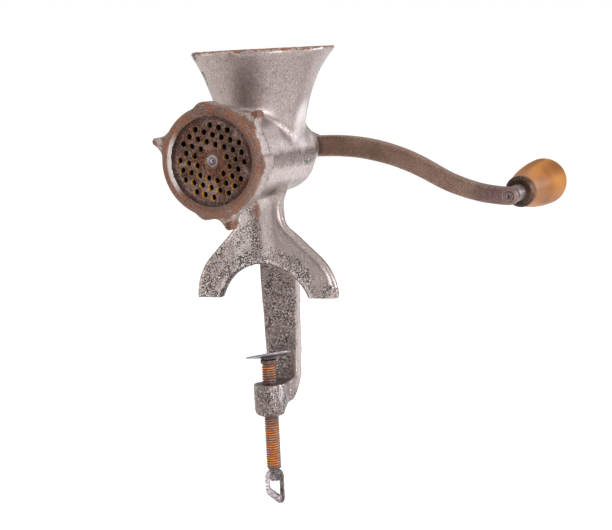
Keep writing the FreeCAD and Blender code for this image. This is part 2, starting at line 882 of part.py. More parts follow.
def plate_key_pin():
    """The pin in the mouth's wall that keeps the plate from turning."""
    return key_rod("plate_key_pin", S.key_radius, PLATE_FRONT + S.plate_gap, S.mouth_y + S.mouth_depth)


def cutter_knife():
    """The cross-bladed knife that turns against the plate, on the stud's square."""
    hub = rod("knife_hub", S.knife_hub_radius, KNIFE_FRONT, KNIFE_REAR)
    blades = []
    for index in range(BLADE_COUNT):
        length = KNIFE_REACH * 2 if index == 0 else S.knife_blade_width
        height = S.knife_blade_width if index == 0 else KNIFE_REACH * 2
        blades.append(primitive(
            "Box", f"blade_{index + 1}", Length=length, Width=S.knife_blade_thickness, Height=height,
            x=-length / 2, y=KNIFE_FRONT, z=S.axis_height - height / 2,
        ))
    square = square_bar("knife_square", S.stud_square + S.seat_gap * 2, KNIFE_FRONT, KNIFE_REAR)
    return cut("cutter_knife", joined("knife_form", hub, *blades), square)


def auger():
    """The feed screw: core, one helical flight, rear journal and square drive end."""
    drive_end = HUB_REAR - S.drive_setback
    shank_end = AUGER_FRONT + S.stud_shank_length
    flight_length = AUGER_REAR - S.auger_shoulder_length - AUGER_FRONT - S.flight_start - S.flight_root
    core = rod("auger_core", S.auger_core_radius, AUGER_FRONT, AUGER_REAR)
    shoulder_front = AUGER_REAR - S.auger_shoulder_length
    shoulder = rod("auger_shoulder", S.auger_shoulder_radius, shoulder_front, AUGER_REAR)
    journal = rod("journal", S.journal_radius, AUGER_REAR, HUB_FRONT - S.seat_gap)
    drive = square_bar("drive_square", S.drive_square, HUB_FRONT - S.seat_gap, drive_end)
    sunk = S.auger_core_radius - S.flight_edge / 2
    flight = helix_bar(
        "flight",
        [
            (sunk, -S.flight_root / 2),
            (AUGER_RADIUS, -S.flight_edge / 2),
            (AUGER_RADIUS, S.flight_edge / 2),
            (sunk, S.flight_root / 2),
        ],
        AUGER_RADIUS, S.auger_pitch, flight_length, ALONG_Y,
        y=AUGER_FRONT + S.flight_start + S.flight_root / 2, z=S.axis_height,
    )
    stud_hole = rod("stud_hole", S.stud_shank_radius + S.seat_gap, AUGER_FRONT, shank_end)
    screw_hole = rod(
        "crank_screw_hole", S.crank_screw_radius + S.running_gap,
        HUB_REAR - S.crank_screw_depth - S.seat_gap, drive_end)
    return cut("auger", joined("auger_form", core, shoulder, journal, drive, flight), stud_hole, screw_hole)


def auger_stud():
    """The steel stud in the feed screw's nose: square for the knife, round where the plate carries it."""
    shank_end = AUGER_FRONT + S.stud_shank_length - S.seat_gap
    shank = rod("stud_shank", S.stud_shank_radius, AUGER_FRONT, shank_end)
    square = square_bar("stud_square_form", S.stud_square, KNIFE_FRONT, AUGER_FRONT)
    tip = rod("stud_tip", S.stud_radius, PLATE_FRONT + S.stud_recess, KNIFE_FRONT)
    dimple = primitive(
        "Cone", "stud_dimple", ALONG_Y, Radius1=S.stud_dimple_radius, Radius2=0,
        Height=S.stud_dimple_radius, y=PLATE_FRONT + S.stud_recess, z=S.axis_height,
    )
    return cut("auger_stud", joined("stud_form", shank, square, tip), dimple)


def thrust_washer():
    """The washer that takes the feed screw's push against the barrel's rear wall."""
    hole = S.journal_radius + S.running_gap
    return ring(
        "thrust_washer", S.thrust_washer_radius, hole, S.thrust_washer_thickness,
        ALONG_Y, y=THRUST_FRONT, z=S.axis_height,
    )


def along_handle(distance):
    """Place of a point on the handle's axis, measured from the middle of the crank arm."""
    return {
        "x": S.crank_reach,
        "y": CRANK_MIDDLE + distance * cosine(S.handle_rise),
        "z": S.axis_height - S.crank_drop + distance * sine(S.handle_rise),
    }


HANDLE_TURN = FreeCAD.Rotation(Vector(1, 0, 0), S.handle_rise.value - 90)
HANDLE_SHOULDER = S.crank_thickness / 2 + S.loose_gap
COLLAR_AT = HANDLE_SHOULDER + S.shoulder_length
GRIP_AT = COLLAR_AT + S.collar_thickness + S.grip_gap
GRIP_END = GRIP_AT + S.grip_length
END_WASHER_AT = GRIP_END - S.grip_recess_depth + S.seat_gap
END_RIVET_AT = END_WASHER_AT + S.end_washer_thickness + S.seat_gap


def first_bend(across, down):
    """Radius, and sine and cosine of the slope it ends at, of an arc that starts level."""
    radius = (across * across + down * down) / (down * 2)
    return radius, across / radius, as_size(1) - down / radius


def second_bend(across, down, start_sine, start_cosine):
    """Radius of an arc that starts at a slope and flattens to a point."""
    return (across * across + down * down) / ((across * start_sine - down * start_cosine) * 2)


def end_slope(across, down, start_sine, start_cosine):
    """Sine and cosine of the slope at which the flattening arc ends."""
    square = across * across + down * down
    twice_sine = across * down * 2 / square
    twice_cosine = (across * across - down * down) / square
    sine_end = twice_sine * start_cosine - twice_cosine * start_sine
    cosine_end = twice_cosine * start_cosine + twice_sine * start_sine
    return sine_end, cosine_end


def crank_arm():
    """The forged S-shaped crank: square-holed hub, curved flat arm and an eye for the handle."""
    run = S.crank_reach - S.crank_bend_start
    mid_run = run * S.crank_bend_share
    mid_drop = S.crank_drop * S.crank_drop_share
    mid_x = S.crank_bend_start + mid_run
    _, mid_sine, mid_cosine = first_bend(mid_run, mid_drop)
    end_sine, end_cosine = end_slope(run - mid_run, S.crank_drop - mid_drop, mid_sine, mid_cosine)
    half = S.crank_half_end
    edges = []
    for side in (-1, 1):
        start_z = S.crank_half_hub * side
        mid = (mid_x + S.crank_half_mid * mid_sine * side, S.crank_half_mid * mid_cosine * side - mid_drop)
        end = (S.crank_reach + half * end_sine * side, half * end_cosine * side - S.crank_drop)
        first, slope_sine, slope_cosine = first_bend(mid[0] - S.crank_bend_start, start_z - mid[1])
        second = second_bend(end[0] - mid[0], mid[1] - end[1], slope_sine, slope_cosine)
        edges.append((start_z, first, mid, second, end))
    low_z, low_first, low_mid, low_second, low_end = edges[0]
    top_z, top_first, top_mid, top_second, top_end = edges[1]
    eye_tip = (S.crank_reach + half * end_cosine, -S.crank_drop - half * end_sine)
    outline = [
        (S.crank_bend_start, low_z, low_first, -1),
        (*low_mid, low_second, 1),
        (*low_end, half, 1),
        (*eye_tip, half, 1),
        (*top_end, top_second, -1),
        (*top_mid, top_first, 1),
        (S.crank_bend_start, top_z),
        (0, top_z),
        (0, low_z),
    ]
    blank = extruded(
        "crank_blank", outline, S.crank_thickness, FACING_FRONT,
        y=CRANK_FRONT + S.crank_thickness, z=S.axis_height,
    )

    def on_long_edge(edge):
        """An edge in the front or rear face of the arm, clear of the hub's end."""
        box = edge.BoundBox
        return box.YLength < CLOSE and box.XMax > S.crank_bend_start.value - CLOSE

    arm = rounded("crank_bar", blank, S.crank_rounding, on_long_edge)
    hub = rod("crank_hub", S.hub_radius, HUB_FRONT, HUB_REAR)
    square = square_bar("crank_square", S.drive_square + S.seat_gap * 2, HUB_FRONT, HUB_REAR)
    through = S.crank_thickness
    eye_hole = primitive(
        "Cylinder", "crank_eye_hole", HANDLE_TURN, Radius=S.rivet_radius + S.seat_gap, Height=through * 2,
        **along_handle(-through))
    return cut("crank_arm", joined("crank_form", arm, hub), square, eye_hole)


def crank_washer():
    """The washer under the crank screw."""
    hole = S.crank_screw_radius + S.running_gap
    return ring(
        "crank_washer", S.crank_washer_radius, hole, S.crank_washer_thickness,
        ALONG_Y, y=HUB_REAR + S.seat_gap, z=S.axis_height,
    )


def crank_screw():
    """The wing screw that holds the crank on the feed screw."""
    seat = HUB_REAR + S.crank_washer_thickness + S.seat_gap * 2
    collar_end = seat + S.crank_screw_collar_length
    shank = rod("crank_screw_shank", S.crank_screw_radius, HUB_REAR - S.crank_screw_depth, seat)
    collar = rod("crank_screw_collar", S.crank_screw_collar_radius, seat, collar_end)
    wings = extruded(
        "crank_screw_wings",
        [
            (-S.wing_root, 0),
            (S.wing_root, 0, S.wing_under_arc, -1),
            (S.wing_reach, S.wing_shoulder_height, S.wing_tip_arc, 1),
            (S.wing_top_reach, S.wing_height, S.wing_arc, -1),
            (0, S.crank_screw_collar_length, S.wing_arc, -1),
            (-S.wing_top_reach, S.wing_height, S.wing_tip_arc, 1),
            (-S.wing_reach, S.wing_shoulder_height, S.wing_under_arc, -1),
        ],
        S.wing_thickness, y=seat, z=S.axis_height - S.wing_thickness / 2,
    )
    return joined("crank_screw", shank, collar, wings)


def handle_spindle():
    """The steel spindle: riveted in the crank's eye, shouldered, and headed beyond the grip."""
    front = -S.crank_thickness / 2
    head_end = END_RIVET_AT + S.end_rivet_height
    return turned(
        "handle_spindle",
        [
            (0, front + S.rivet_dimple_radius),
            (S.rivet_dimple_radius, front),
            (S.rivet_radius, front),
            (S.rivet_radius, HANDLE_SHOULDER),
            (S.shoulder_radius, HANDLE_SHOULDER),
            (S.shoulder_radius, COLLAR_AT - S.seat_gap),
            (S.spindle_radius, COLLAR_AT - S.seat_gap),
            (S.spindle_radius, END_RIVET_AT),
            (S.end_rivet_radius, END_RIVET_AT),
            (S.end_rivet_crown_radius, head_end - S.end_rivet_crown_height),
            (0, head_end),
        ],
        HANDLE_TURN, **along_handle(as_size(0)),
    )


def handle_collar():
    """The cupped iron collar that the grip turns against."""
    return turned(
        "handle_collar",
        [
            (S.spindle_radius + S.seat_gap, 0),
            (S.collar_face_radius, 0),
            (S.collar_radius, S.collar_thickness - S.collar_lip),
            (S.collar_radius, S.collar_thickness),
            (S.collar_rim_radius, S.collar_thickness),
            (S.collar_floor_radius, S.collar_cup),
            (S.spindle_radius + S.seat_gap, S.collar_cup),
        ],
        HANDLE_TURN, **along_handle(COLLAR_AT),
    )


def wooden_grip():
    """The turned pear-shaped grip, bored for the spindle, with a recess for the end washer."""
    bore = S.spindle_radius + S.running_gap
    recess = S.end_washer_radius + S.loose_gap
    floor = S.grip_length - S.grip_recess_depth
    return turned(
        "wooden_grip",
        [
            (bore, 0),
            (S.grip_near_radius, 0, S.grip_side_arc, 1),
            (S.grip_belly_radius, S.grip_belly_at, S.grip_end_arc, 1),
            (S.grip_end_radius + S.loose_gap, S.grip_length),
            (recess, S.grip_length),
            (recess, floor),
            (bore, floor),
        ],
        HANDLE_TURN, **along_handle(GRIP_AT),
    )


def end_washer():
    """The washer let into the grip's end under the spindle's head."""
    return ring(
        "end_washer", S.end_washer_radius, S.spindle_radius + S.seat_gap, S.end_washer_thickness,
        HANDLE_TURN, **along_handle(END_WASHER_AT),
    )


def clamp_screw():
    """The clamp screw: riveted tip for the pad, right-hand thread and a reduced end for the loop."""
    core_radius = S.screw_radius - S.thread_depth
    neck_top = S.pad_height - S.pad_rim + sine(S.pad_lean) * S.screw_head_radius + S.screw_head_gap
    tip = LOOP_TOP - S.loop_crown - S.seat_gap - S.loop_rivet_height
    core = turned(
        "screw_core",
        [
            (0, tip),
            (S.loop_neck_radius, tip),
            (S.loop_neck_radius, S.thread_bottom),
            (core_radius, S.thread_bottom),
            (core_radius, SCREW_SHOULDER),
            (S.screw_neck_radius, SCREW_SHOULDER),
            (S.screw_neck_radius, neck_top),
            (S.screw_head_radius, neck_top),
            (S.screw_head_top, neck_top + S.screw_head_height),
            (0, neck_top + S.screw_head_height),
        ],
    )
    sunk = S.thread_crest / 2
    flank = (S.thread_pitch - S.thread_crest) / 2
    thread = helix_bar(
        "screw_thread",
        [
            (core_radius - sunk, -flank),
            (S.screw_radius, -S.thread_crest / 2),
            (S.screw_radius, S.thread_crest / 2),
            (core_radius - sunk, flank),
        ],
        S.screw_radius, S.thread_pitch, THREAD_TOP - S.thread_bottom - S.thread_pitch,
        z=S.thread_bottom + S.thread_pitch / 2,
    )
    return joined("clamp_screw", core, thread)


def pad_collar():
    """The cupped collar that the pad rocks in, which slides with the screw and does not turn."""
    return turned(
        "pad_collar",
        [
            (COLLAR_HOLE, COLLAR_UNDER),
            (S.pad_collar_radius, COLLAR_UNDER),
            (S.pad_collar_radius, CUP_TOP),
            (S.pad_cup_radius, CUP_TOP, CUP_RADIUS, -1),
            (COLLAR_HOLE, CUP_FLOOR),
        ],
    )


def clamp_pad():
    """The dished pad that presses on the table's underside, rocking on its round foot and leaning."""
    heading = math.radians(S.pad_lean_heading.value)
    lean = FreeCAD.Rotation(Vector(math.cos(heading), math.sin(heading), 0), -S.pad_lean.value)
    ball = S.pad_ball_radius
    foot_bottom = root(ball * ball - S.pad_hole_radius * S.pad_hole_radius)
    foot_top = root(ball * ball - S.pad_foot_radius * S.pad_foot_radius)
    return turned(
        "clamp_pad",
        [
            (S.pad_hole_radius, -foot_bottom, ball, 1),
            (S.pad_foot_radius, -foot_top),
            (S.pad_radius, -S.pad_edge),
            (S.pad_radius, 0),
            (S.pad_dish_radius, 0),
            (S.pad_hole_radius, -S.pad_rim),
        ],
        lean, z=S.pad_height,
    )


def loop_outer():
    """The loop's outline: two upright sides and a bottom bar that slopes to one side."""
    half = S.loop_half_width
    corner = S.loop_corner
    slope = (S.loop_long_side - S.loop_short_side) / (half * 2)
    steep = root(as_size(1) + slope * slope)
    blunt = S.loop_blunt_run
    toe = S.loop_toe_run
    return [
        (half - corner, 0),
        (-half + corner, 0, corner, 1),
        (-half, -corner),
        (-half, -S.loop_short_side + blunt, blunt * (steep + slope), 1),
        (-half + blunt / steep, -S.loop_short_side - blunt * slope / steep),
        (half - toe / steep, -S.loop_long_side + toe * slope / steep, toe * (steep - slope), 1),
        (half, -S.loop_long_side + toe),
        (half, -corner, corner, 1),
    ]


def loop_window():
    """The opening inside the loop, under its solid crown."""
    half = S.loop_half_width - S.loop_strip
    corner = S.loop_window_corner
    slope = (S.loop_long_side - S.loop_short_side) / (S.loop_half_width * 2)
    steep = root(as_size(1) + slope * slope)
    left = -S.loop_short_side - slope * S.loop_strip + steep * S.loop_bar
    right = -S.loop_long_side + slope * S.loop_strip + steep * S.loop_bar
    return [
        (half - corner, -S.loop_crown),
        (-half + corner, -S.loop_crown, corner, 1),
        (-half, -S.loop_crown - corner),
        (-half, left),
        (half - corner / steep, right + corner * slope / steep, corner * (steep - slope), 1),
        (half, right + corner),
        (half, -S.loop_crown - corner, corner, 1),
    ]


def screw_loop():
    """The stirrup-shaped loop that turns the screw by hand, longer on one side."""
    turn = FreeCAD.Rotation(Vector(0, 0, 1), S.loop_heading.value).multiply(FACING_FRONT)
    place = {
        "x": -sine(S.loop_heading) * S.loop_depth / 2,
        "y": cosine(S.loop_heading) * S.loop_depth / 2,
        "z": LOOP_TOP,
    }
    outer = extruded("loop_outer", loop_outer(), S.loop_depth, turn, **place)
    window = extruded("loop_inner", loop_window(), S.loop_depth, turn, **place)
    hole = post("loop_hole", S.loop_neck_radius + S.seat_gap, LOOP_TOP - S.loop_crown, LOOP_TOP)
    return cut("screw_loop", outer, window, hole)


def loop_rivet():
    """The burr riveted over the screw's reduced end inside the loop."""
    under = LOOP_TOP - S.loop_crown - S.seat_gap - S.loop_rivet_height
    hole = S.loop_neck_radius + S.seat_gap
    return ring("loop_rivet", S.loop_rivet_radius, hole, S.loop_rivet_height, z=under)


def check(nodes):
    """Stop if anything in the document failed or a piece isn't one whole solid."""
    doc.recompute()
    failed = [item.Label for item in doc.Objects if {"Invalid", "Error"} & set(item.State)]
    if failed:
        raise RuntimeError(f"failed: {failed}")
    for node in nodes:
        shape = node.Shape
        if shape.isNull() or not shape.isValid() or len(shape.Solids) != 1:
            raise RuntimeError(f"{node.Label} isn't one valid solid: {len(shape.Solids)} solids")


def write(nodes):
    """Write each piece to its own file."""
    os.makedirs("parts", exist_ok=True)
    for node in nodes:
        node.Shape.exportStep(f"parts/{node.Label}.step")
        print(f"{node.Label}: {node.Shape.Volume / 1000:.2f} cm3")


NODES = [
    body_casting(), ring_nut(), cutter_plate(), plate_key_pin(), cutter_knife(), auger(), auger_stud(),
    thrust_washer(), crank_arm(), crank_washer(), crank_screw(), handle_spindle(), handle_collar(),
    wooden_grip(), end_washer(), clamp_screw(), pad_collar(), clamp_pad(), screw_loop(), loop_rivet(),
]
check(NODES)
write(NODES)
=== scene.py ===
"""Looks of an old hand crank meat grinder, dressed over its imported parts.

Lengths in metres unless a name ends in mm. +Z is up, the cutter plate faces -Y, the crank reaches to +X.
"""

from __future__ import annotations

import logging
import math
from dataclasses import dataclass, field
from enum import Enum
from typing import Any

import bmesh
import bpy
from mathutils import Matrix, Vector, noise

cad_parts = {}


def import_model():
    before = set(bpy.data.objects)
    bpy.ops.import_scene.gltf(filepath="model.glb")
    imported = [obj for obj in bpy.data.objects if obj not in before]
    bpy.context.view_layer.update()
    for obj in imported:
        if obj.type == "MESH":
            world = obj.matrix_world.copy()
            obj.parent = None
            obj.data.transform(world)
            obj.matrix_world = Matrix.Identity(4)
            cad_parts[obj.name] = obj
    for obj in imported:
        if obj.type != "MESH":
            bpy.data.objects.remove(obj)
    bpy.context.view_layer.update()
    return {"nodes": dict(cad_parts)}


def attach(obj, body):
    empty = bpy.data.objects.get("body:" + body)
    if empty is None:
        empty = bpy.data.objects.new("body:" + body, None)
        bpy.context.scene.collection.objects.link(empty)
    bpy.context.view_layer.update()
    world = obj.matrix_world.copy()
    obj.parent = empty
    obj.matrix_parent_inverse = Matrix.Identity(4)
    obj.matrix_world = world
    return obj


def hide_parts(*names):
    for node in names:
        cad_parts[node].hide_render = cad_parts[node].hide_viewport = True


frame: dict[str, Any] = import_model()
LOG = logging.getLogger("meat_grinder")
MM = 0.001
WELD = 1e-6
# Noise seldom leaves the span from 0.4 to 0.6, so tones are spread over it.
TWO_TONES = (0.4, 0.6)
THREE_TONES = (0.4, 0.5, 0.6)
# Sockets of the Mix node: its share, its two numbers, its two colours and the mixed colour.
SHARE = 0
NUM_A = 2
NUM_B = 3
RGB_A = 6
RGB_B = 7
RGB_OUT = 2
# Shares of a patch and of a band that are worn in full; the rest fades out.
PATCH_CORE = 0.45
BAND_CORE = 0.5

Triple = tuple[float, float, float]
Source = tuple[bpy.types.Node, "str | int"]


class Wear(Enum):
    """Kinds of wear, and of painted highlight and painted shade, that a finish carries in patches."""

    PITS = "pits"
    RUST = "rust"
    GRIME_AND_SHADE = "grime_and_shade_share"
    PAINTED_HIGHLIGHT = "shine"


def linear(code: str) -> tuple[float, float, float, float]:
    """Turn an sRGB hex colour to linear light.

    Args:
        code: the colour as #RRGGBB.

    Returns:
        Red, green, blue and an alpha of one.
    """
    shares = [int(code[at:at + 2], 16) / 255 for at in (1, 3, 5)]
    red, green, blue = (s / 12.92 if s <= 0.04045 else ((s + 0.055) / 1.055) ** 2.4 for s in shares)
    return red, green, blue, 1.0


def per(size_mm: float) -> float:
    """Give the texture scale whose pattern repeats at a size in millimetres."""
    return 1 / (size_mm * MM)


def wave(size_mm: float) -> float:
    """Give the wave texture's scale whose crests stand a size in millimetres apart."""
    return per(size_mm) * math.tau / 20


def add_node(tree: bpy.types.NodeTree, kind: str, inputs: dict[str | int, Any] | None = None,
             stops: tuple[tuple[float, str], ...] = (), **settings: Any) -> bpy.types.Node:
    """Add a node with its settings, values and links.

    Args:
        tree: the material's nodes.
        kind: the node's type name, without the ShaderNode that starts it.
        inputs: for each input socket a value, or a (node, output) pair to link from.
        stops: places and hex colours of a colour ramp.
        settings: attributes of the node itself.

    Returns:
        The new node.
    """
    node = tree.nodes.new(f"ShaderNode{kind}")
    for name, value in settings.items():
        setattr(node, name, value)
    for socket, value in (inputs or {}).items():
        if isinstance(value, tuple) and isinstance(value[0], bpy.types.Node):
            tree.links.new(value[0].outputs[value[1]], node.inputs[socket])
        else:
            node.inputs[socket].default_value = value
    if stops:
        ramp = node.color_ramp.elements
        while len(ramp) < len(stops):
            ramp.new(0.5)
        for element, (place, code) in zip(ramp, stops):
            element.position = place
            element.color = linear(code)
    return node


def start_material(name: str) -> tuple[bpy.types.Material, bpy.types.NodeTree, Source]:
    """Start a finish with no nodes but the object's own coordinates.

    Args:
        name: the material's name.

    Returns:
        The material, its nodes and the coordinates.
    """
    material = bpy.data.materials.new(name)
    material.use_nodes = True
    tree = material.node_tree
    tree.nodes.clear()
    return material, tree, (add_node(tree, "TexCoord"), "Object")


@dataclass(frozen=True)
class Patch:
    """An egg-shaped region of wear, painted highlight or painted shade, in millimetres."""

    wear: Wear
    centre: Triple
    reach: Triple
    strength: float = 1.0

    def mask(self, tree: bpy.types.NodeTree, place: Source) -> Source:
        """Lay the patch over a surface.

        Args:
            tree: the material's nodes.
            place: the coordinates to measure from.

        Returns:
            A value that falls from the patch's strength inside to none at its reach.
        """
        scale = tuple(1 / (r * MM) for r in self.reach)
        shift = tuple(-c / r for c, r in zip(self.centre, self.reach))
        local = add_node(tree, "Mapping", {"Vector": place, "Scale": scale, "Location": shift})
        far = add_node(tree, "VectorMath", {0: (local, 0)}, operation="LENGTH")
        fade = add_node(tree, "MapRange",
                        {"Value": (far, "Value"), "From Min": 1.0, "From Max": PATCH_CORE,
                         "To Max": self.strength}, interpolation_type="SMOOTHSTEP")
        return fade, "Result"


@dataclass(frozen=True)
class Band(Patch):
    """A ring-shaped region of wear, painted highlight or painted shade; reach gives its weights along x, y
    and z, and a patch may bound it.
    """

    radius: float = 30.0
    half_width: float = 3.0
    within: Patch | None = None

    def mask(self, tree: bpy.types.NodeTree, place: Source) -> Source:
        """Lay the ring over a surface.

        Args:
            tree: the material's nodes.
            place: the coordinates to measure from.

        Returns:
            A value that falls from the band's strength on its circle to none at its half width.
        """
        shift = tuple(-c * MM * w for c, w in zip(self.centre, self.reach))
        local = add_node(tree, "Mapping", {"Vector": place, "Scale": self.reach, "Location": shift})
        far = add_node(tree, "VectorMath", {0: (local, 0)}, operation="LENGTH")
        off = add_node(tree, "Math", {0: (far, "Value"), 1: self.radius * MM}, operation="SUBTRACT")
        away = add_node(tree, "Math", {0: (off, 0)}, operation="ABSOLUTE")
        fade = add_node(tree, "MapRange",
                        {"Value": (away, 0), "From Min": self.half_width * MM,
                         "From Max": self.half_width * BAND_CORE * MM, "To Max": self.strength},
                        interpolation_type="SMOOTHSTEP")
        if self.within is None:
            return fade, "Result"
        return add_node(tree, "Math", {0: (fade, "Result"), 1: self.within.mask(tree, place)},
                        operation="MULTIPLY"), 0


@dataclass(frozen=True)
class WornMetal:
    """Old metal with drifting tone, specks, rust and rubbed edges, with painted highlights, painted glints
    and painted shade laid over them.

    The grain and pits of real iron are finer than the render can show, so both are drawn coarser here.
    """

    name: str
    tones: tuple[str, str, str]
    rough: float = 0.42
    metallic: float = 0.8
    cloud_mm: float = 14.0
    grain_mm: float = 0.55
    grain_share: float = 0.55
    streak_share: float = 0.0
    streak_mm: float = 0.9
    streak_length_mm: float = 9.0
    ring_mm: float = 0.0
    ring_axis: Triple = (0.0, 0.0, 0.0)
    ring_share: float = 0.0
    ring_rust: float = 0.05
    ring_bend: float = 14.0
    pit_mm: float = 0.75
    pit_cover: float = 0.1
    pit_code: str = "#1E1816"
    pit_lift: float = 0.42
    crowd_mm: float = 7.0
    glint_share: float = 0.6
    glint_lift: float = 0.34
    rust_mm: float = 2.0
    rust_blur: float = 0.0
    rust_cover: float = 0.0
    rust_codes: tuple[str, str] = ("#5A3A26", "#9A5A2C")
    grime_and_shade_code: str = "#4A413B"
    hollow_grime: float = 0.5
    highlight_code: str = "#E6E1DC"
    edge_wear_and_highlight: float = 0.3
    relief_mm: float = 0.22
    dullest: float = 0.85
    stir_mm: float = 4.0
    stir_reach_mm: float = 6.0
    patches: tuple[Patch, ...] = ()

    def cover(self, tree: bpy.types.NodeTree, place: Source, wear: Wear, start: float) -> Source:
        """Add up all patches of one kind of wear, painted highlight or painted shade.

        Args:
            tree: the material's nodes.
            place: the coordinates to lay the patches on.
            wear: the kind.
            start: the share that is everywhere.

        Returns:
            The share of the surface that carries that kind.
        """
        base = add_node(tree, "Math", {0: start, 1: 0.0}, operation="ADD")
        total: Source = (base, 0)
        for patch in self.patches:
            if patch.wear is wear:
                total = (add_node(tree, "Math", {0: total, 1: patch.mask(tree, place)},
                                  operation="MAXIMUM"), 0)
        return total

    def streaks(self, tree: bpy.types.NodeTree, place: Source) -> Source:
        """Draw the faint upright streaks that wiping and run-off leave.

        Args:
            tree: the material's nodes.
            place: the object's coordinates.

        Returns:
            The noise of the streaks.
        """
        stretch = self.streak_mm / self.streak_length_mm
        upright = add_node(tree, "VectorMath", {0: place, 1: (1.0, 1.0, stretch)}, operation="MULTIPLY")
        return add_node(tree, "TexNoise",
                        {"Vector": (upright, 0), "Scale": per(self.streak_mm), "Detail": 2.0}), "Fac"

    def turning(self, tree: bpy.types.NodeTree, place: Source) -> Source:
        """Draw broken rings round the axis, as a wearing face shows.

        Args:
            tree: the material's nodes.
            place: the object's coordinates.

        Returns:
            The pattern of the rings.
        """
        centred = add_node(tree, "Mapping",
                           {"Vector": place, "Location": tuple(-c * MM for c in self.ring_axis)})
        return add_node(tree, "TexWave",
                        {"Vector": (centred, 0), "Scale": wave(self.ring_mm), "Distortion": self.ring_bend,
                         "Detail": 3.0, "Detail Scale": 0.6, "Detail Roughness": 0.6},
                        wave_type="RINGS", rings_direction="Y"), "Fac"

    def skin(self, tree: bpy.types.NodeTree, place: Source, grain: Source, streak: Source) -> Source:
        """Give the clean metal its tones.

        Args:
            tree: the material's nodes.
            place: the object's coordinates.
            grain: the fine grain.
            streak: the upright streaks.

        Returns:
            The colour.
        """
        cloud = add_node(tree, "TexNoise",
                         {"Vector": place, "Scale": per(self.cloud_mm), "Detail": 4.0, "Roughness": 0.6})
        drift = add_node(tree, "Mix", {SHARE: self.grain_share, NUM_A: (cloud, "Fac"), NUM_B: grain})
        tone = add_node(tree, "Mix", {SHARE: self.streak_share, NUM_A: (drift, 0), NUM_B: streak})
        if self.ring_share:
            rings = self.turning(tree, place)
            tone = add_node(tree, "Mix", {SHARE: self.ring_share, NUM_A: (tone, 0), NUM_B: rings})
        return add_node(tree, "ValToRGB", {"Fac": (tone, 0)},
                        stops=tuple(zip(THREE_TONES, self.tones))), 0

    def rust(self, tree: bpy.types.NodeTree, stirred: Source, blot: Source) -> Source:
        """Spread the rust in blots.

        Args:
            tree: the material's nodes.
            stirred: the coordinates that make its edges wander.
            blot: the noise of the blots.

        Returns:
            How much of the metal shows as rust.
        """
        share = self.cover(tree, stirred, Wear.RUST, self.rust_cover)
        lift = add_node(tree, "Math", {0: blot, 1: share}, operation="ADD")
        return add_node(tree, "MapRange",
                        {"Value": (lift, 0), "From Min": 0.78 - self.rust_blur,
                         "From Max": 1.02 + self.rust_blur, "To Max": 0.95}), 0

    def specks(self, tree: bpy.types.NodeTree, place: Source, stirred: Source) -> tuple[Source, Source]:
        """Strew ragged specks over the metal, black pits and painted glints side by side.

        Args:
            tree: the material's nodes.
            place: the object's coordinates.
            stirred: the coordinates that make the patches' edges wander.

        Returns:
            The pits and the painted glints, each from none to full.
        """
        cover = self.cover(tree, stirred, Wear.PITS, self.pit_cover)
        # Pits crowd together in some spots and leave others clean.
        crowd = add_node(tree, "TexNoise", {"Vector": place, "Scale": per(self.crowd_mm), "Detail": 3.0})
        uneven = add_node(tree, "MapRange",
                          {"Value": (crowd, "Fac"), "From Min": 0.35, "From Max": 0.65, "To Min": 0.65,
                           "To Max": 1.3})
        share = add_node(tree, "Math", {0: cover, 1: (uneven, 0)}, operation="MULTIPLY")
        ragged = add_node(tree, "TexNoise",
                          {"Vector": place, "Scale": per(self.pit_mm), "Detail": 2.0, "Roughness": 0.6})
        deep = add_node(tree, "Math", {0: (share, 0), 1: self.pit_lift, 2: (ragged, "Fac")},
                        operation="MULTIPLY_ADD")
        pits = add_node(tree, "MapRange",
                        {"Value": (deep, 0), "From Min": 0.68, "From Max": 0.78, "To Max": 0.95})
        bare = add_node(tree, "Math",
                        {0: (share, 0), 1: -self.glint_lift * self.glint_share, 2: (ragged, "Fac")},
                        operation="MULTIPLY_ADD")
        painted_glints = add_node(tree, "MapRange",
                          {"Value": (bare, 0), "From Min": 0.3, "From Max": 0.2, "To Max": 0.9})
        return (pits, 0), (painted_glints, 0)

    def make(self) -> bpy.types.Material:
        """Make the finish.

        Returns:
            The node material.
        """
        material, tree, place = start_material(self.name)
        surface = add_node(tree, "NewGeometry")

        # Edges of the wear wander by a few millimetres.
        reach = (self.stir_reach_mm * MM,) * 3
        stir = add_node(tree, "TexNoise", {"Vector": place, "Scale": per(self.stir_mm), "Detail": 3.0})
        swing = add_node(tree, "VectorMath", {0: (stir, "Color"), 1: (0.5, 0.5, 0.5)},
                         operation="SUBTRACT")
        stirred: Source = (add_node(tree, "VectorMath", {0: (swing, 0), 1: reach, 2: place},
                                    operation="MULTIPLY_ADD"), 0)
        grain: Source = (add_node(tree, "TexNoise",
                                  {"Vector": place, "Scale": per(self.grain_mm), "Detail": 3.0,
                                   "Roughness": 0.65}), "Fac")
        blot: Source = (add_node(tree, "TexNoise",
                                 {"Vector": place, "Scale": per(self.rust_mm), "Detail": 5.0,
                                  "Roughness": 0.7}), "Fac")

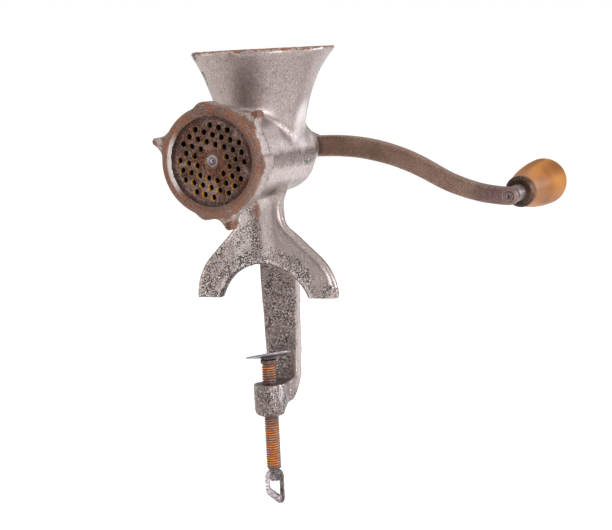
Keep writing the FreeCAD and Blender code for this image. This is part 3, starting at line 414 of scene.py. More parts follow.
        # Grime lies in hollows and in its patches, and breaks up in blots; some of those patches are painted
        # shade, a painted shadow and a painted dark reflection rather than grime.
        hollow = add_node(tree, "MapRange",
                          {"Value": (surface, "Pointiness"), "From Min": 0.49, "From Max": 0.42,
                           "To Max": self.hollow_grime})
        grime_and_shade_patches = self.cover(tree, stirred, Wear.GRIME_AND_SHADE, 0.0)
        dirt_and_shade = add_node(tree, "Math", {0: (hollow, 0), 1: grime_and_shade_patches}, operation="MAXIMUM")
        streak = self.streaks(tree, place)
        patchy = add_node(tree, "Mix", {SHARE: 0.35, NUM_A: blot, NUM_B: streak})
        broken = add_node(tree, "MapRange",
                          {"Value": (patchy, 0), "From Min": 0.38, "From Max": 0.62, "To Min": 0.5,
                           "To Max": 1.45})
        grime_and_shade_share = add_node(tree, "Math", {0: (dirt_and_shade, 0), 1: (broken, 0)}, operation="MULTIPLY",
                         use_clamp=True)
        clean = self.skin(tree, place, grain, streak)
        grimy_and_shaded = add_node(tree, "Mix",
                         {SHARE: (grime_and_shade_share, 0), RGB_A: clean, RGB_B: linear(self.grime_and_shade_code)}, data_type="RGBA")

        rust = self.rust(tree, stirred, blot)
        rust_drift = add_node(tree, "Mix", {SHARE: 0.5, NUM_A: grain, NUM_B: blot})
        if self.ring_mm:
            rings = self.turning(tree, place)
            rust_drift = add_node(tree, "Mix",
                                  {SHARE: self.ring_rust, NUM_A: (rust_drift, 0), NUM_B: rings})
        rust_tone = add_node(tree, "ValToRGB", {"Fac": (rust_drift, 0)},
                             stops=tuple(zip(TWO_TONES, self.rust_codes)))
        rusted = add_node(tree, "Mix",
                          {SHARE: rust, RGB_A: (grimy_and_shaded, RGB_OUT), RGB_B: (rust_tone, 0)}, data_type="RGBA")

        # Painted highlights: the highlight patches are painted highlights, and convex edges are lightened
        # partly as rubbed wear and partly as painted highlight.
        edge = add_node(tree, "MapRange",
                        {"Value": (surface, "Pointiness"), "From Min": 0.52, "From Max": 0.6,
                         "To Max": self.edge_wear_and_highlight})
        painted_highlights = self.cover(tree, place, Wear.PAINTED_HIGHLIGHT, 0.0)
        rubbed = add_node(tree, "Math", {0: (edge, 0), 1: painted_highlights}, operation="MAXIMUM")
        rubbed_and_highlighted = add_node(tree, "Mix",
                            {SHARE: (rubbed, 0), RGB_A: (rusted, RGB_OUT), RGB_B: linear(self.highlight_code)},
                            data_type="RGBA")

        # Specks: pits go black, and painted glints, white specks of highlight, lie between them.
        pits, painted_glints = self.specks(tree, place, stirred)
        pitted = add_node(tree, "Mix",
                          {SHARE: pits, RGB_A: (rubbed_and_highlighted, RGB_OUT), RGB_B: linear(self.pit_code)},
                          data_type="RGBA")
        colour = add_node(tree, "Mix",
                          {SHARE: painted_glints, RGB_A: (pitted, RGB_OUT), RGB_B: linear(self.highlight_code)},
                          data_type="RGBA")

        spoilt = add_node(tree, "Math", {0: rust, 1: pits}, operation="MAXIMUM")
        dull = add_node(tree, "MapRange",
                        {"Value": (spoilt, 0), "To Min": self.rough - 0.1,
                         "To Max": min(self.dullest, self.rough + 0.3)})
        rough = add_node(tree, "Math", {0: grain, 1: 0.2, 2: (dull, 0)}, operation="MULTIPLY_ADD")
        metal = add_node(tree, "MapRange",
                         {"Value": (spoilt, 0), "To Min": self.metallic, "To Max": self.metallic * 0.25})
        height = add_node(tree, "Math", {0: grain, 1: 0.5, 2: 0.5}, operation="MULTIPLY_ADD")
        sunk = add_node(tree, "Math", {0: (height, 0), 1: pits}, operation="SUBTRACT")
        bump = add_node(tree, "Bump",
                        {"Strength": 0.8, "Distance": self.relief_mm * MM, "Height": (sunk, 0)})
        shader = add_node(tree, "BsdfPrincipled",
                          {"Base Color": (colour, RGB_OUT), "Roughness": (rough, 0), "Metallic": (metal, 0),
                           "Normal": (bump, 0)})
        add_node(tree, "OutputMaterial", {"Surface": (shader, 0)})
        return material


@dataclass(frozen=True)
class PlateSteel:
    """Stained cutter steel: purple-grey face blotched brown, golden oil film in the mouths of its holes.

    Its grinding marks are too fine to show, so the grain is drawn coarser.
    """

    name: str = "stained_cutter_steel"
    face: tuple[str, str, str] = ("#35221E", "#5A433D", "#8A746D")
    stain: tuple[str, str] = ("#331B13", "#784830")
    wall: tuple[str, str] = ("#8A6014", "#FFC437")
    deep: str = "#120C0A"
    lip: str = "#B5A39C"
    rough: float = 0.42
    front_mm: float = -60.25
    film_mm: float = 2.0
    film_fade_mm: float = 0.8
    upward_fade_mm: float = 16.0
    axis_mm: float = 90.0
    rim_mm: float = 25.2
    rim_fade_mm: float = 1.0
    middle_mm: float = 15.0
    cloud_mm: float = 9.0
    blot_mm: float = 13.0
    grain_mm: float = 0.8
    relief_mm: float = 0.1
    metallic: float = 0.8

    def make(self) -> bpy.types.Material:
        """Make the finish.

        Returns:
            The node material.
        """
        material, tree, place = start_material(self.name)
        surface = add_node(tree, "NewGeometry")
        cloud = add_node(tree, "TexNoise",
                         {"Vector": place, "Scale": per(self.cloud_mm), "Detail": 5.0, "Roughness": 0.62})
        grain = add_node(tree, "TexNoise", {"Vector": place, "Scale": per(self.grain_mm), "Detail": 3.0})
        tone = add_node(tree, "Mix", {SHARE: 0.45, NUM_A: (cloud, "Fac"), NUM_B: (grain, "Fac")})
        face = add_node(tree, "ValToRGB", {"Fac": (tone, 0)}, stops=tuple(zip(THREE_TONES, self.face)))
        blot = add_node(tree, "TexNoise",
                        {"Vector": place, "Scale": per(self.blot_mm), "Detail": 5.0, "Roughness": 0.7})
        spread = add_node(tree, "MapRange",
                          {"Value": (blot, "Fac"), "From Min": 0.46, "From Max": 0.62, "To Max": 0.8})
        stain = add_node(tree, "ValToRGB", {"Fac": (grain, "Fac")},
                         stops=tuple(zip(TWO_TONES, self.stain)))
        # Juice dries brown round the middle, and the rim is darkened to black where the nut bears on it.
        centred = add_node(tree, "Mapping",
                           {"Vector": place, "Scale": (1, 0, 1), "Location": (0, 0, -self.axis_mm * MM)})
        radius = add_node(tree, "VectorMath", {0: (centred, 0)}, operation="LENGTH")
        middle = add_node(tree, "MapRange",
                          {"Value": (radius, "Value"), "From Min": self.middle_mm * MM,
                           "From Max": self.middle_mm * 0.4 * MM, "To Max": 0.65})
        brown = add_node(tree, "Math", {0: (spread, 0), 1: (middle, 0)}, operation="MAXIMUM")
        tinted = add_node(tree, "Mix",
                          {SHARE: (brown, 0), RGB_A: (face, 0), RGB_B: (stain, 0)}, data_type="RGBA")
        rim = add_node(tree, "MapRange",
                       {"Value": (radius, "Value"), "From Min": (self.rim_mm - self.rim_fade_mm) * MM,
                        "From Max": self.rim_mm * MM, "To Max": 0.55})
        stained = add_node(tree, "Mix",
                           {SHARE: (rim, 0), RGB_A: (tinted, RGB_OUT), RGB_B: linear(self.deep)},
                           data_type="RGBA")

        # The film shines only in the mouth of each hole, and the rest of the wall is dark.
        film = add_node(tree, "ValToRGB", {"Fac": (cloud, "Fac")},
                        stops=tuple(zip((0.36, 0.52), self.wall)))
        along = add_node(tree, "SeparateXYZ", {0: place})
        inner = (self.front_mm + self.film_mm) * MM
        depth = add_node(tree, "MapRange",
                         {"Value": (along, "Y"), "From Min": inner,
                          "From Max": inner + self.film_fade_mm * MM})
        # The walls darken to black towards the upper holes, so the film shows in the lower ones.
        darker_upward = add_node(tree, "MapRange",
                         {"Value": (along, "Z"), "From Min": (self.axis_mm - self.upward_fade_mm) * MM,
                          "From Max": (self.axis_mm + self.upward_fade_mm) * MM, "To Max": 0.85})
        bare = add_node(tree, "Math", {0: (depth, 0), 1: (darker_upward, 0)}, operation="MAXIMUM")
        wall = add_node(tree, "Mix",
                        {SHARE: (bare, 0), RGB_A: (film, 0), RGB_B: linear(self.deep)}, data_type="RGBA")
        facing = add_node(tree, "SeparateXYZ", {0: (surface, "Normal")})
        front = add_node(tree, "Math", {0: (facing, "Y")}, operation="ABSOLUTE")
        # Painted highlight: a thin light lip round each hole.
        lip_highlight = add_node(tree, "MapRange",
                          {"Value": (front, 0), "From Min": 0.995, "From Max": 0.95, "To Max": 0.75})
        lipped = add_node(tree, "Mix",
                          {SHARE: (lip_highlight, 0), RGB_A: (stained, RGB_OUT), RGB_B: linear(self.lip)},
                          data_type="RGBA")
        inside = add_node(tree, "MapRange", {"Value": (front, 0), "From Min": 0.85, "From Max": 0.65})
        colour = add_node(tree, "Mix",
                          {SHARE: (inside, 0), RGB_A: (lipped, RGB_OUT), RGB_B: (wall, RGB_OUT)},
                          data_type="RGBA")
        rough = add_node(tree, "MapRange",
                         {"Value": (grain, "Fac"), "To Min": self.rough - 0.12, "To Max": self.rough + 0.2})
        bump = add_node(tree, "Bump",
                        {"Strength": 0.6, "Distance": self.relief_mm * MM, "Height": (grain, "Fac")})
        shader = add_node(tree, "BsdfPrincipled",
                          {"Base Color": (colour, RGB_OUT), "Roughness": (rough, 0),
                           "Metallic": self.metallic, "Normal": (bump, 0)})
        add_node(tree, "OutputMaterial", {"Surface": (shader, 0)})
        return material


@dataclass(frozen=True)
class RustyThread:
    """Screw steel: orange rust in the groove, rubbed dark grey on the crests.

    Its rust grains are too fine to show, so they are drawn coarser.
    """

    name: str = "rusted_screw_steel"
    groove: tuple[str, str, str] = ("#6A2E10", "#E2822C", "#FFC96C")
    crest: tuple[str, str] = ("#120A0B", "#807276")
    plain: tuple[str, str] = ("#3B2C28", "#6E5A52")
    root_mm: float = 3.95
    crest_mm: float = 4.27
    rust_top_mm: float = -42.4
    rust_bottom_mm: float = -106.4
    boss_mm: float = -64.0
    rub_mm: tuple[float, float] = (20.0, 11.0)
    blot_mm: float = 4.0
    grain_mm: float = 0.6
    relief_mm: float = 0.15
    drift_gain: float = 3.6
    drift_shift: float = -1.75

    def make(self) -> bpy.types.Material:
        """Make the finish.

        Returns:
            The node material.
        """
        material, tree, place = start_material(self.name)
        flat = add_node(tree, "VectorMath", {0: place, 1: (1.0, 1.0, 0.0)}, operation="MULTIPLY")
        radius = add_node(tree, "VectorMath", {0: (flat, 0)}, operation="LENGTH")
        blot = add_node(tree, "TexNoise",
                        {"Vector": place, "Scale": per(self.blot_mm), "Detail": 5.0, "Roughness": 0.65})
        grain = add_node(tree, "TexNoise", {"Vector": place, "Scale": per(self.grain_mm), "Detail": 3.0})
        out = add_node(tree, "MapRange",
                       {"Value": (radius, "Value"), "From Min": self.root_mm * MM,
                        "From Max": self.crest_mm * MM})
        drift = add_node(tree, "Math", {0: (blot, "Fac"), 1: self.drift_gain, 2: self.drift_shift},
                         operation="MULTIPLY_ADD")
        # The boss rubs the thread bare and dark where it runs in and out.
        height = add_node(tree, "SeparateXYZ", {0: place})
        from_boss = add_node(tree, "Math", {0: (height, "Z"), 1: self.boss_mm * MM},
                             operation="SUBTRACT")
        near_boss = add_node(tree, "Math", {0: (from_boss, 0)}, operation="ABSOLUTE")
        rubbed = add_node(tree, "MapRange",
                          {"Value": (near_boss, 0), "From Min": self.rub_mm[0] * MM,
                           "From Max": self.rub_mm[1] * MM, "To Max": 0.6})
        bare = add_node(tree, "Math", {0: (drift, 0), 1: (rubbed, 0)}, operation="ADD")
        worn = add_node(tree, "Math", {0: (out, 0), 1: (bare, 0)}, operation="ADD", use_clamp=True)
        tone = add_node(tree, "Mix", {SHARE: 0.5, NUM_A: (blot, "Fac"), NUM_B: (grain, "Fac")})
        groove = add_node(tree, "ValToRGB", {"Fac": (tone, 0)},
                          stops=tuple(zip((0.35, 0.5, 0.64), self.groove)))
        crest = add_node(tree, "ValToRGB", {"Fac": (tone, 0)},
                         stops=tuple(zip((0.38, 0.62), self.crest)))
        threaded = add_node(tree, "Mix",
                            {SHARE: (worn, 0), RGB_A: (groove, 0), RGB_B: (crest, 0)}, data_type="RGBA")
        # Head, neck and tip beyond the thread stay dark steel.
        middle = (self.rust_top_mm + self.rust_bottom_mm) / 2 * MM
        half = (self.rust_top_mm - self.rust_bottom_mm) / 2 * MM
        off = add_node(tree, "Math", {0: (height, "Z"), 1: middle}, operation="SUBTRACT")
        away = add_node(tree, "Math", {0: (off, 0)}, operation="ABSOLUTE")
        beyond = add_node(tree, "MapRange",
                          {"Value": (away, 0), "From Min": half - MM, "From Max": half + MM})
        plain = add_node(tree, "ValToRGB", {"Fac": (tone, 0)}, stops=tuple(zip(TWO_TONES, self.plain)))
        colour = add_node(tree, "Mix",
                          {SHARE: (beyond, 0), RGB_A: (threaded, RGB_OUT), RGB_B: (plain, 0)},
                          data_type="RGBA")
        metal = add_node(tree, "MapRange", {"Value": (worn, 0), "To Min": 0.1, "To Max": 0.8})
        rough = add_node(tree, "MapRange", {"Value": (worn, 0), "To Min": 0.85, "To Max": 0.45})
        bump = add_node(tree, "Bump",
                        {"Strength": 0.7, "Distance": self.relief_mm * MM, "Height": (tone, 0)})
        shader = add_node(tree, "BsdfPrincipled",
                          {"Base Color": (colour, RGB_OUT), "Roughness": (rough, 0), "Metallic": (metal, 0),
                           "Normal": (bump, 0)})
        add_node(tree, "OutputMaterial", {"Surface": (shader, 0)})
        return material


@dataclass(frozen=True)
class VarnishedWood:
    """Turned beech under old varnish: streaks along the grip, soft gloss, a painted pale sheen and a painted
    shadow by the collar.

    The wood's pores are too fine to show, so the streaks are drawn coarser.
    """

    name: str = "varnished_beech"
    grain: tuple[str, str, str, str] = ("#62370A", "#7C470D", "#8B530F", "#9E661C")
    sheen_code: str = "#A87C5E"
    sheen_mm: tuple[float, float] = (16.0, 42.0)
    gap_shade_code: str = "#24140A"
    gap_shade_mm: tuple[float, float] = (21.2, 22.6)
    centre: Triple = (0.0, 0.0, 0.0)
    rise: float = 0.0
    ring_mm: float = 9.9
    streak_mm: float = 0.8
    streak_length_mm: float = 26.0
    cloud_mm: float = 16.0
    relief_mm: float = 0.15
    rough: float = 0.42

    def make(self) -> bpy.types.Material:
        """Make the finish.

        Returns:
            The node material.
        """
        material, tree, place = start_material(self.name)
        # The grain runs along the grip, so the pattern is turned to the grip's axis.
        local = add_node(tree, "Mapping",
                         {"Vector": place, "Location": self.centre, "Rotation": (self.rise, 0.0, 0.0)},
                         vector_type="TEXTURE")
        stretch = self.streak_mm / self.streak_length_mm
        long = add_node(tree, "VectorMath", {0: (local, 0), 1: (1.0, stretch, 1.0)},
                        operation="MULTIPLY")
        streak = add_node(tree, "TexNoise",
                          {"Vector": (long, 0), "Scale": per(self.streak_mm), "Detail": 4.0,
                           "Roughness": 0.6})
        ring = add_node(tree, "TexWave",
                        {"Vector": (long, 0), "Scale": wave(self.ring_mm), "Distortion": 5.0,
                         "Detail": 3.0, "Detail Scale": 1.4}, bands_direction="X")
        cloud = add_node(tree, "TexNoise", {"Vector": place, "Scale": per(self.cloud_mm), "Detail": 2.0})
        figure = add_node(tree, "Mix", {SHARE: 0.55, NUM_A: (ring, "Fac"), NUM_B: (streak, "Fac")})
        tone = add_node(tree, "Mix", {SHARE: 0.4, NUM_A: (figure, 0), NUM_B: (cloud, "Fac")})
        colour = add_node(tree, "ValToRGB", {"Fac": (tone, 0)},
                          stops=tuple(zip((0.25, 0.42, 0.56, 0.75), self.grain)))
        # Painted sheen: the grip is painted paler towards the collar.
        along = add_node(tree, "SeparateXYZ", {0: (local, 0)})
        worn = add_node(tree, "MapRange",
                        {"Value": (along, "Y"), "From Min": self.sheen_mm[1] * MM,
                         "From Max": self.sheen_mm[0] * MM, "To Max": 0.4})
        sheened = add_node(tree, "Mix",
                         {SHARE: (worn, 0), RGB_A: (colour, 0), RGB_B: linear(self.sheen_code)},
                         data_type="RGBA")
        # Painted shadow: a black ring on the grip's near end stands for the shade in the gap under the
        # collar.
        gap_shade = add_node(tree, "MapRange",
                         {"Value": (along, "Y"), "From Min": self.gap_shade_mm[1] * MM,
                          "From Max": self.gap_shade_mm[0] * MM, "To Max": 0.85})
        gap_shaded = add_node(tree, "Mix",
                          {SHARE: (gap_shade, 0), RGB_A: (sheened, RGB_OUT), RGB_B: linear(self.gap_shade_code)},
                          data_type="RGBA")
        rough = add_node(tree, "MapRange",
                         {"Value": (streak, "Fac"), "To Min": self.rough - 0.1,
                          "To Max": self.rough + 0.25})
        bump = add_node(tree, "Bump",
                        {"Strength": 0.35, "Distance": self.relief_mm * MM, "Height": (streak, "Fac")})
        shader = add_node(tree, "BsdfPrincipled",
                          {"Base Color": (gap_shaded, RGB_OUT), "Roughness": (rough, 0), "Normal": (bump, 0),
                           "IOR": 1.45, "Specular IOR Level": 0.12, "Coat Weight": 0.06,
                           "Coat Roughness": 0.25})
        add_node(tree, "OutputMaterial", {"Surface": (shader, 0)})
        return material


def new_object(name: str, bm: bmesh.types.BMesh) -> bpy.types.Object:
    """Turn a finished bmesh into an object at the origin.

    Args:
        name: the piece's name.
        bm: the mesh, which is freed.

    Returns:
        The linked object.
    """
    mesh = bpy.data.meshes.new(name)
    bm.to_mesh(mesh)
    bm.free()
    piece = bpy.data.objects.new(name, mesh)
    bpy.context.scene.collection.objects.link(piece)
    return piece


def welded(node: str) -> bmesh.types.BMesh:
    """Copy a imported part's mesh and merge its loose triangles.

    Args:
        node: the part's name.

    Returns:
        The merged copy.
    """
    bm = bmesh.new()
    bm.from_mesh(frame["nodes"][node].data)
    bmesh.ops.remove_doubles(bm, verts=bm.verts, dist=WELD)
    return bm


def relax(bm: bmesh.types.BMesh, verts: list[bmesh.types.BMVert], rounds: int) -> None:
    """Smooth part of a mesh.

    Args:
        bm: the mesh.
        verts: the vertices that move.
        rounds: how many times they do.
    """
    for _ in range(rounds):
        bmesh.ops.smooth_vert(bm, verts=verts, factor=0.5, use_axis_x=True, use_axis_y=True,
                              use_axis_z=True)


class Along(Enum):
    """Direction of a bore."""

    Y = 1
    Z = 2


@dataclass(frozen=True)
class Bore:
    """A round hole that smoothing leaves true, in millimetres; its axis passes through the centre."""

    along: Along
    centre: Triple
    radius: float
    start: float
    end: float

    def holds(self, point: Vector) -> bool:
        """Say whether a point lies in the bore.

        Args:
            point: the point, in metres.

        Returns:
            True inside the radius and between the ends.
        """
        off = point / MM - Vector(self.centre)
        run = point[self.along.value] / MM
        off[self.along.value] = 0.0
        return off.length < self.radius and self.start < run < self.end


@dataclass
class CastPiece:
    """A casting remade from its part with softened corners, an uneven skin and true bores."""

    node: str
    body: str
    slot: str
    grain_mm: float
    fillet_rounds: int = 24
    fillet_rings: int = 4
    polish_rounds: int = 2
    uneven_mm: float = 0.1
    ripple_mm: float = 8.0
    hollow_share: float = 0.06
    bores: tuple[Bore, ...] = ()

    def remeshed(self) -> bmesh.types.BMesh:
        """Rebuild the part's skin in even small faces.

        Returns:
            The new skin.
        """
        rough = new_object(f"{self.node}_blank", welded(self.node))
        remesh = rough.modifiers.new("even_skin", "REMESH")
        remesh.mode = "VOXEL"
        remesh.voxel_size = self.grain_mm * MM
        shape = rough.evaluated_get(bpy.context.evaluated_depsgraph_get())
        bm = bmesh.new()
        bm.from_mesh(shape.to_mesh())
        shape.to_mesh_clear()
        bpy.data.objects.remove(rough)
        return bm

    def build(self) -> bpy.types.Object:
        """Make the piece in the part's place.

        Returns:
            The finished piece.
        """
        bm = self.remeshed()
        bm.normal_update()
        free = [vert for vert in bm.verts if not any(bore.holds(vert.co) for bore in self.bores)]
        # A vertex that sinks by this share of the skin's grain lies in a hollow, and is blended.
        step = self.hollow_share * self.grain_mm * MM
        hollow: set[bmesh.types.BMVert] = set()
        for vert in free:
            around = [edge.other_vert(vert).co for edge in vert.link_edges]
            mean = sum(around, Vector()) / max(1, len(around))
            if (mean - vert.co).dot(vert.normal) > step:
                hollow.add(vert)
        for _ in range(self.fillet_rings):
            hollow |= {edge.other_vert(vert) for vert in hollow for edge in vert.link_edges}
        hollow &= set(free)
        if hollow:
            relax(bm, list(hollow), self.fillet_rounds)
        relax(bm, free, self.polish_rounds)
        bm.normal_update()
        for vert in free:
            swell = noise.noise(vert.co / (self.ripple_mm * MM)) * self.uneven_mm * MM
            vert.co += vert.normal * swell
        for face in bm.faces:
            face.smooth = True
        piece = new_object(f"{self.node}_cast", bm)
        return settle(piece, self.node, self.body)


@dataclass
class MachinedPiece:
    """A turned or cut piece with its edges broken."""

    node: str
    body: str
    slot: str
    edge_mm: float = 0.2
    crease: float = math.radians(32)

    def build(self) -> bpy.types.Object:
        """Make the piece in the part's place.

        Returns:
            The finished piece.
        """
        piece = new_object(f"{self.node}_cut", welded(self.node))
        piece.data.shade_smooth()
        piece.data.set_sharp_from_angle(angle=self.crease)
        if self.edge_mm:
            edge = piece.modifiers.new("broken_edges", "BEVEL")
            edge.width = self.edge_mm * MM
            edge.segments = 2
            edge.limit_method = "ANGLE"
            edge.angle_limit = self.crease
        return settle(piece, self.node, self.body)


def settle(piece: bpy.types.Object, node: str, body: str) -> bpy.types.Object:
    """Put a piece in its part's place on the moving bodies.

    Args:
        piece: the finished piece.
        node: the part that it stands for.
        body: the body that it moves with.

    Returns:
        The same piece.
    """
    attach(piece, body)
    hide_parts(node)
    LOG.info("%s stands for %s on %s: %d faces", piece.name, node, body, len(piece.data.polygons))
    return piece


def coat(piece: bpy.types.Object, material: bpy.types.Material) -> None:
    """Give a piece one finish all over."""
    piece.data.materials.clear()
    piece.data.materials.append(material)


# Keeps the rings under the arch, pits, a painted highlight line and painted shade, off the clamp arm behind
# it.
FORK = Patch(Wear.PITS, (0, 1, 0), (300, 14, 300))

# Tinned grey iron, sand cast: satin warm grey, black pits where the tin has gone, brown along the ridge;
# some patches are painted highlights, painted shade and a painted dark reflection.
TINNED_IRON = WornMetal(
    name="worn_tinned_cast_iron", tones=("#867873", "#A3948F", "#BDAFAA"), rough=0.33, metallic=0.88,
    cloud_mm=32.0, grain_share=0.75, streak_share=0.3, pit_mm=0.82, pit_cover=0.16, pit_code="#14100E",
    glint_share=0.65, rust_codes=("#4A2A1C", "#96583A"), grime_and_shade_code="#52433D", hollow_grime=0.35,
    highlight_code="#E8E0DE", edge_wear_and_highlight=0.12,
    patches=(
        # hopper: dull skin, pitted seam on its left, rusty rim, painted highlight on the throat's right
        Patch(Wear.GRIME_AND_SHADE, (0, 12, 136), (110, 110, 42), 0.26),
        Patch(Wear.PITS, (-34, 2, 126), (34, 30, 50), 0.28),
        Patch(Wear.PITS, (-31.5, -17.5, 152), (5, 7, 6), 0.8),
        Patch(Wear.PITS, (-25, -11.4, 140), (5, 7, 8), 0.8),
        Patch(Wear.PITS, (-20, -6.5, 127), (5, 7, 8), 0.7),
        Band(Wear.RUST, (0, 14.2, 156.0), (1, 1, 19), 0.75, radius=46.0, half_width=26.0),
        Patch(Wear.PAINTED_HIGHLIGHT, (26, 10, 110), (6, 10, 24), 0.6),
        # barrel: a painted dark reflection band with pits along its middle height, a painted shadow under
        # it, and painted shade in the fillet under the hopper
        Patch(Wear.PITS, (27, 16, 87), (22, 44, 7), 0.4),
        Patch(Wear.GRIME_AND_SHADE, (27, 0, 87), (26, 90, 7), 0.6),
        Patch(Wear.GRIME_AND_SHADE, (18, 0, 69), (26, 90, 6), 0.5),
        Patch(Wear.GRIME_AND_SHADE, (18, -5, 102), (13, 13, 10), 0.7),
        # fork: left leg eaten away, neck left of the ridge lightened by a painted highlight, ridge stripped
        # and brown, painted highlight line on its right
        Patch(Wear.PITS, (-26, -2, 24), (36, 22, 50), 0.44),
        Patch(Wear.PITS, (-42, 0, 3), (20, 22, 10), 0.56),
        Patch(Wear.PITS, (42, 0, 2), (22, 22, 12), 0.46),
        Patch(Wear.RUST, (50, -6, 2), (5, 14, 6), 0.42),
        Patch(Wear.GRIME_AND_SHADE, (30, 0, 26), (30, 22, 26), 0.22),
        Patch(Wear.GRIME_AND_SHADE, (42, 0, 0), (22, 22, 14), 0.28),
        Patch(Wear.PITS, (-4, -5, 40), (8, 7, 34), 0.42),
        Patch(Wear.PAINTED_HIGHLIGHT, (-13, -4, 46), (10, 14, 30), 0.3),
        Patch(Wear.GRIME_AND_SHADE, (-1, -5, 40), (5, 7, 34), 0.3),
        Patch(Wear.RUST, (-0.5, -5, 55), (4, 8, 12), 0.45),
        Patch(Wear.RUST, (2, -5, 35), (3, 6, 6), 0.42),
        Patch(Wear.PAINTED_HIGHLIGHT, (5.5, -5, 47), (5.5, 12, 40), 0.22),
        Patch(Wear.GRIME_AND_SHADE, (14, -4, 48), (9, 12, 30), 0.25),
        # under the arch: pits, a painted highlight line along its front edge and painted shade on the soffit
        Band(Wear.PITS, (0, 0, -11), (1, 0.05, 1), 0.46, radius=38.0, half_width=8.0, within=FORK),
        Band(Wear.PAINTED_HIGHLIGHT, (0, 0, -11), (1, 0.05, 1), 0.28, radius=34.8, half_width=1.3, within=FORK),
        Band(Wear.GRIME_AND_SHADE, (0, 0, -11), (1, 0.05, 1), 1.0, radius=31.4, half_width=3.0, within=FORK),
        # clamp arm: dark stained front, boss stained all round but for a painted highlight streak
        Patch(Wear.GRIME_AND_SHADE, (0, 15, -15), (26, 9, 96), 0.55),
        Patch(Wear.PITS, (0, 15, -15), (26, 9, 96), 0.4),
        Patch(Wear.GRIME_AND_SHADE, (0, 0, -66), (30, 40, 26), 0.6),
        Patch(Wear.PITS, (0, 0, -64), (30, 30, 24), 0.36),
        Patch(Wear.PAINTED_HIGHLIGHT, (11, -4.5, -58), (3, 4, 16), 0.5),
    ))

# The nut's face has lost its tin and rusted brown in rings; its flank keeps a grey skin.
NUT_IRON = WornMetal(
    name="rusted_cast_iron_ring", tones=("#7A6B65", "#988982", "#B6A8A2"), rough=0.38, metallic=0.82,
    grain_share=0.7, pit_cover=0.14, rust_mm=3.4, rust_blur=0.3, rust_codes=("#1C0F0A", "#844C2A"),
    ring_mm=1.6, ring_axis=(0, 0, 90), relief_mm=0.45,
    highlight_code="#EDE4DF", edge_wear_and_highlight=0.15, grime_and_shade_code="#4A362C", glint_share=0.2,
    patches=(
        Band(Wear.RUST, (0, -64, 90), (1, 4, 1), 0.72, radius=33.0, half_width=9.0),
        Band(Wear.GRIME_AND_SHADE, (0, -60.5, 90), (1, 2, 1), 0.25, radius=27.0, half_width=4.0),
        Patch(Wear.PITS, (30, -46, 90), (30, 9, 60), 0.36),
        Patch(Wear.RUST, (31.4, -55, 118.3), (6, 12, 6), 1.0),
        Patch(Wear.RUST, (-41, -55, 100.9), (6, 12, 6), 0.8),
        Patch(Wear.RUST, (9.6, -55, 50), (7, 12, 7), 1.0),
        Patch(Wear.PITS, (0, -64, 122), (36, 4, 12), 0.34),
        # painted highlight: a white crescent on the left of the inner edge
        Band(Wear.PAINTED_HIGHLIGHT, (0, -60.5, 90), (1, 0.05, 1), 0.45, radius=27.6, half_width=1.9,
             within=Patch(Wear.PAINTED_HIGHLIGHT, (-30, -62, 86), (12, 10, 30))),
    ))

# Bare forged iron browned by age and hands: dark purple-brown, with painted glints as light specks and edges
# lightened partly by rubbing and partly as painted highlight.
CRANK_IRON = WornMetal(
    name="browned_forged_iron", tones=("#5E483D", "#785E51", "#92776A"), rough=0.42, metallic=0.7,
    grain_mm=0.65, grain_share=0.75, pit_cover=0.12, highlight_code="#CFB09B", edge_wear_and_highlight=0.7, glint_share=1.3,
    rust_codes=("#4A3024", "#7A4E36"), rust_cover=0.08, grime_and_shade_code="#584048",
    patches=(Patch(Wear.GRIME_AND_SHADE, (138, 66, 56), (26, 14, 16), 0.6),))

# Turned steel kept clean by rubbing: a dull grey sheen with faint rings round the axis.
BRIGHT_STEEL = WornMetal(
    name="bright_turned_steel", tones=("#4A3E3D", "#746665", "#A39796"), rough=0.52, metallic=0.95,
    grain_share=0.3, ring_mm=2.0, ring_axis=(0, 0, 90), ring_share=0.15, ring_bend=1.5, pit_cover=0.0,
    relief_mm=0.05, highlight_code="#F2EEEC")

# Cast feed screw iron, grey and oily.
AUGER_IRON = WornMetal(
    name="oiled_cast_iron", tones=("#635853", "#857A74", "#A59A94"), rough=0.45, metallic=0.8,
    pit_cover=0.12)

# Plain turned spindle steel: tarnished purple-brown, with a low sheen.
SPINDLE_STEEL = WornMetal(
    name="tarnished_spindle_steel", tones=("#3E2E2C", "#5A4642", "#7C6864"), rough=0.36, metallic=0.85,
    pit_cover=0.08)

# Blackened clamp steel, forged: dark grey with a bright rim, partly rubbed wear and partly painted
# highlight.
DARK_STEEL = WornMetal(
    name="blackened_clamp_steel", tones=("#4A3F42", "#766A6E", "#A89CA0"), rough=0.36, metallic=0.85,
    pit_cover=0.16, edge_wear_and_highlight=0.6, rust_cover=0.06)

# Pin steel stained black by meat juice.
STAINED_PIN = WornMetal(
    name="stained_pin_steel", tones=("#0E0907", "#1A1210", "#2A1E19"), rough=0.65, metallic=0.5,
    edge_wear_and_highlight=0.0)

# Black-brown iron collar, its edges lightened partly as chips to bare metal and partly as painted highlight.
COLLAR_IRON = WornMetal(
    name="black_brown_iron", tones=("#1E130E", "#3C2A21", "#5E4637"), rough=0.36, metallic=0.75,
    pit_cover=0.12, edge_wear_and_highlight=0.7, highlight_code="#E0C4A4", rust_cover=0.1)

# Wrought iron strip, bent by hand: grey and pitted, dark brown on its far leg.
LOOP_IRON = WornMetal(
    name="pitted_wrought_iron", tones=("#4C4241", "#928688", "#DCD2D3"), rough=0.3, metallic=0.85,
    grain_mm=0.7, pit_cover=0.36, glint_share=0.35, edge_wear_and_highlight=0.5, rust_codes=("#3F2A20", "#6E4A33"),
    rust_cover=0.1, grime_and_shade_code="#42352F",
    patches=(
        Patch(Wear.GRIME_AND_SHADE, (7, 0, -118), (5, 8, 18), 1.0),
        Patch(Wear.GRIME_AND_SHADE, (0.5, 0, -112), (6, 6, 6), 0.75),
    ))


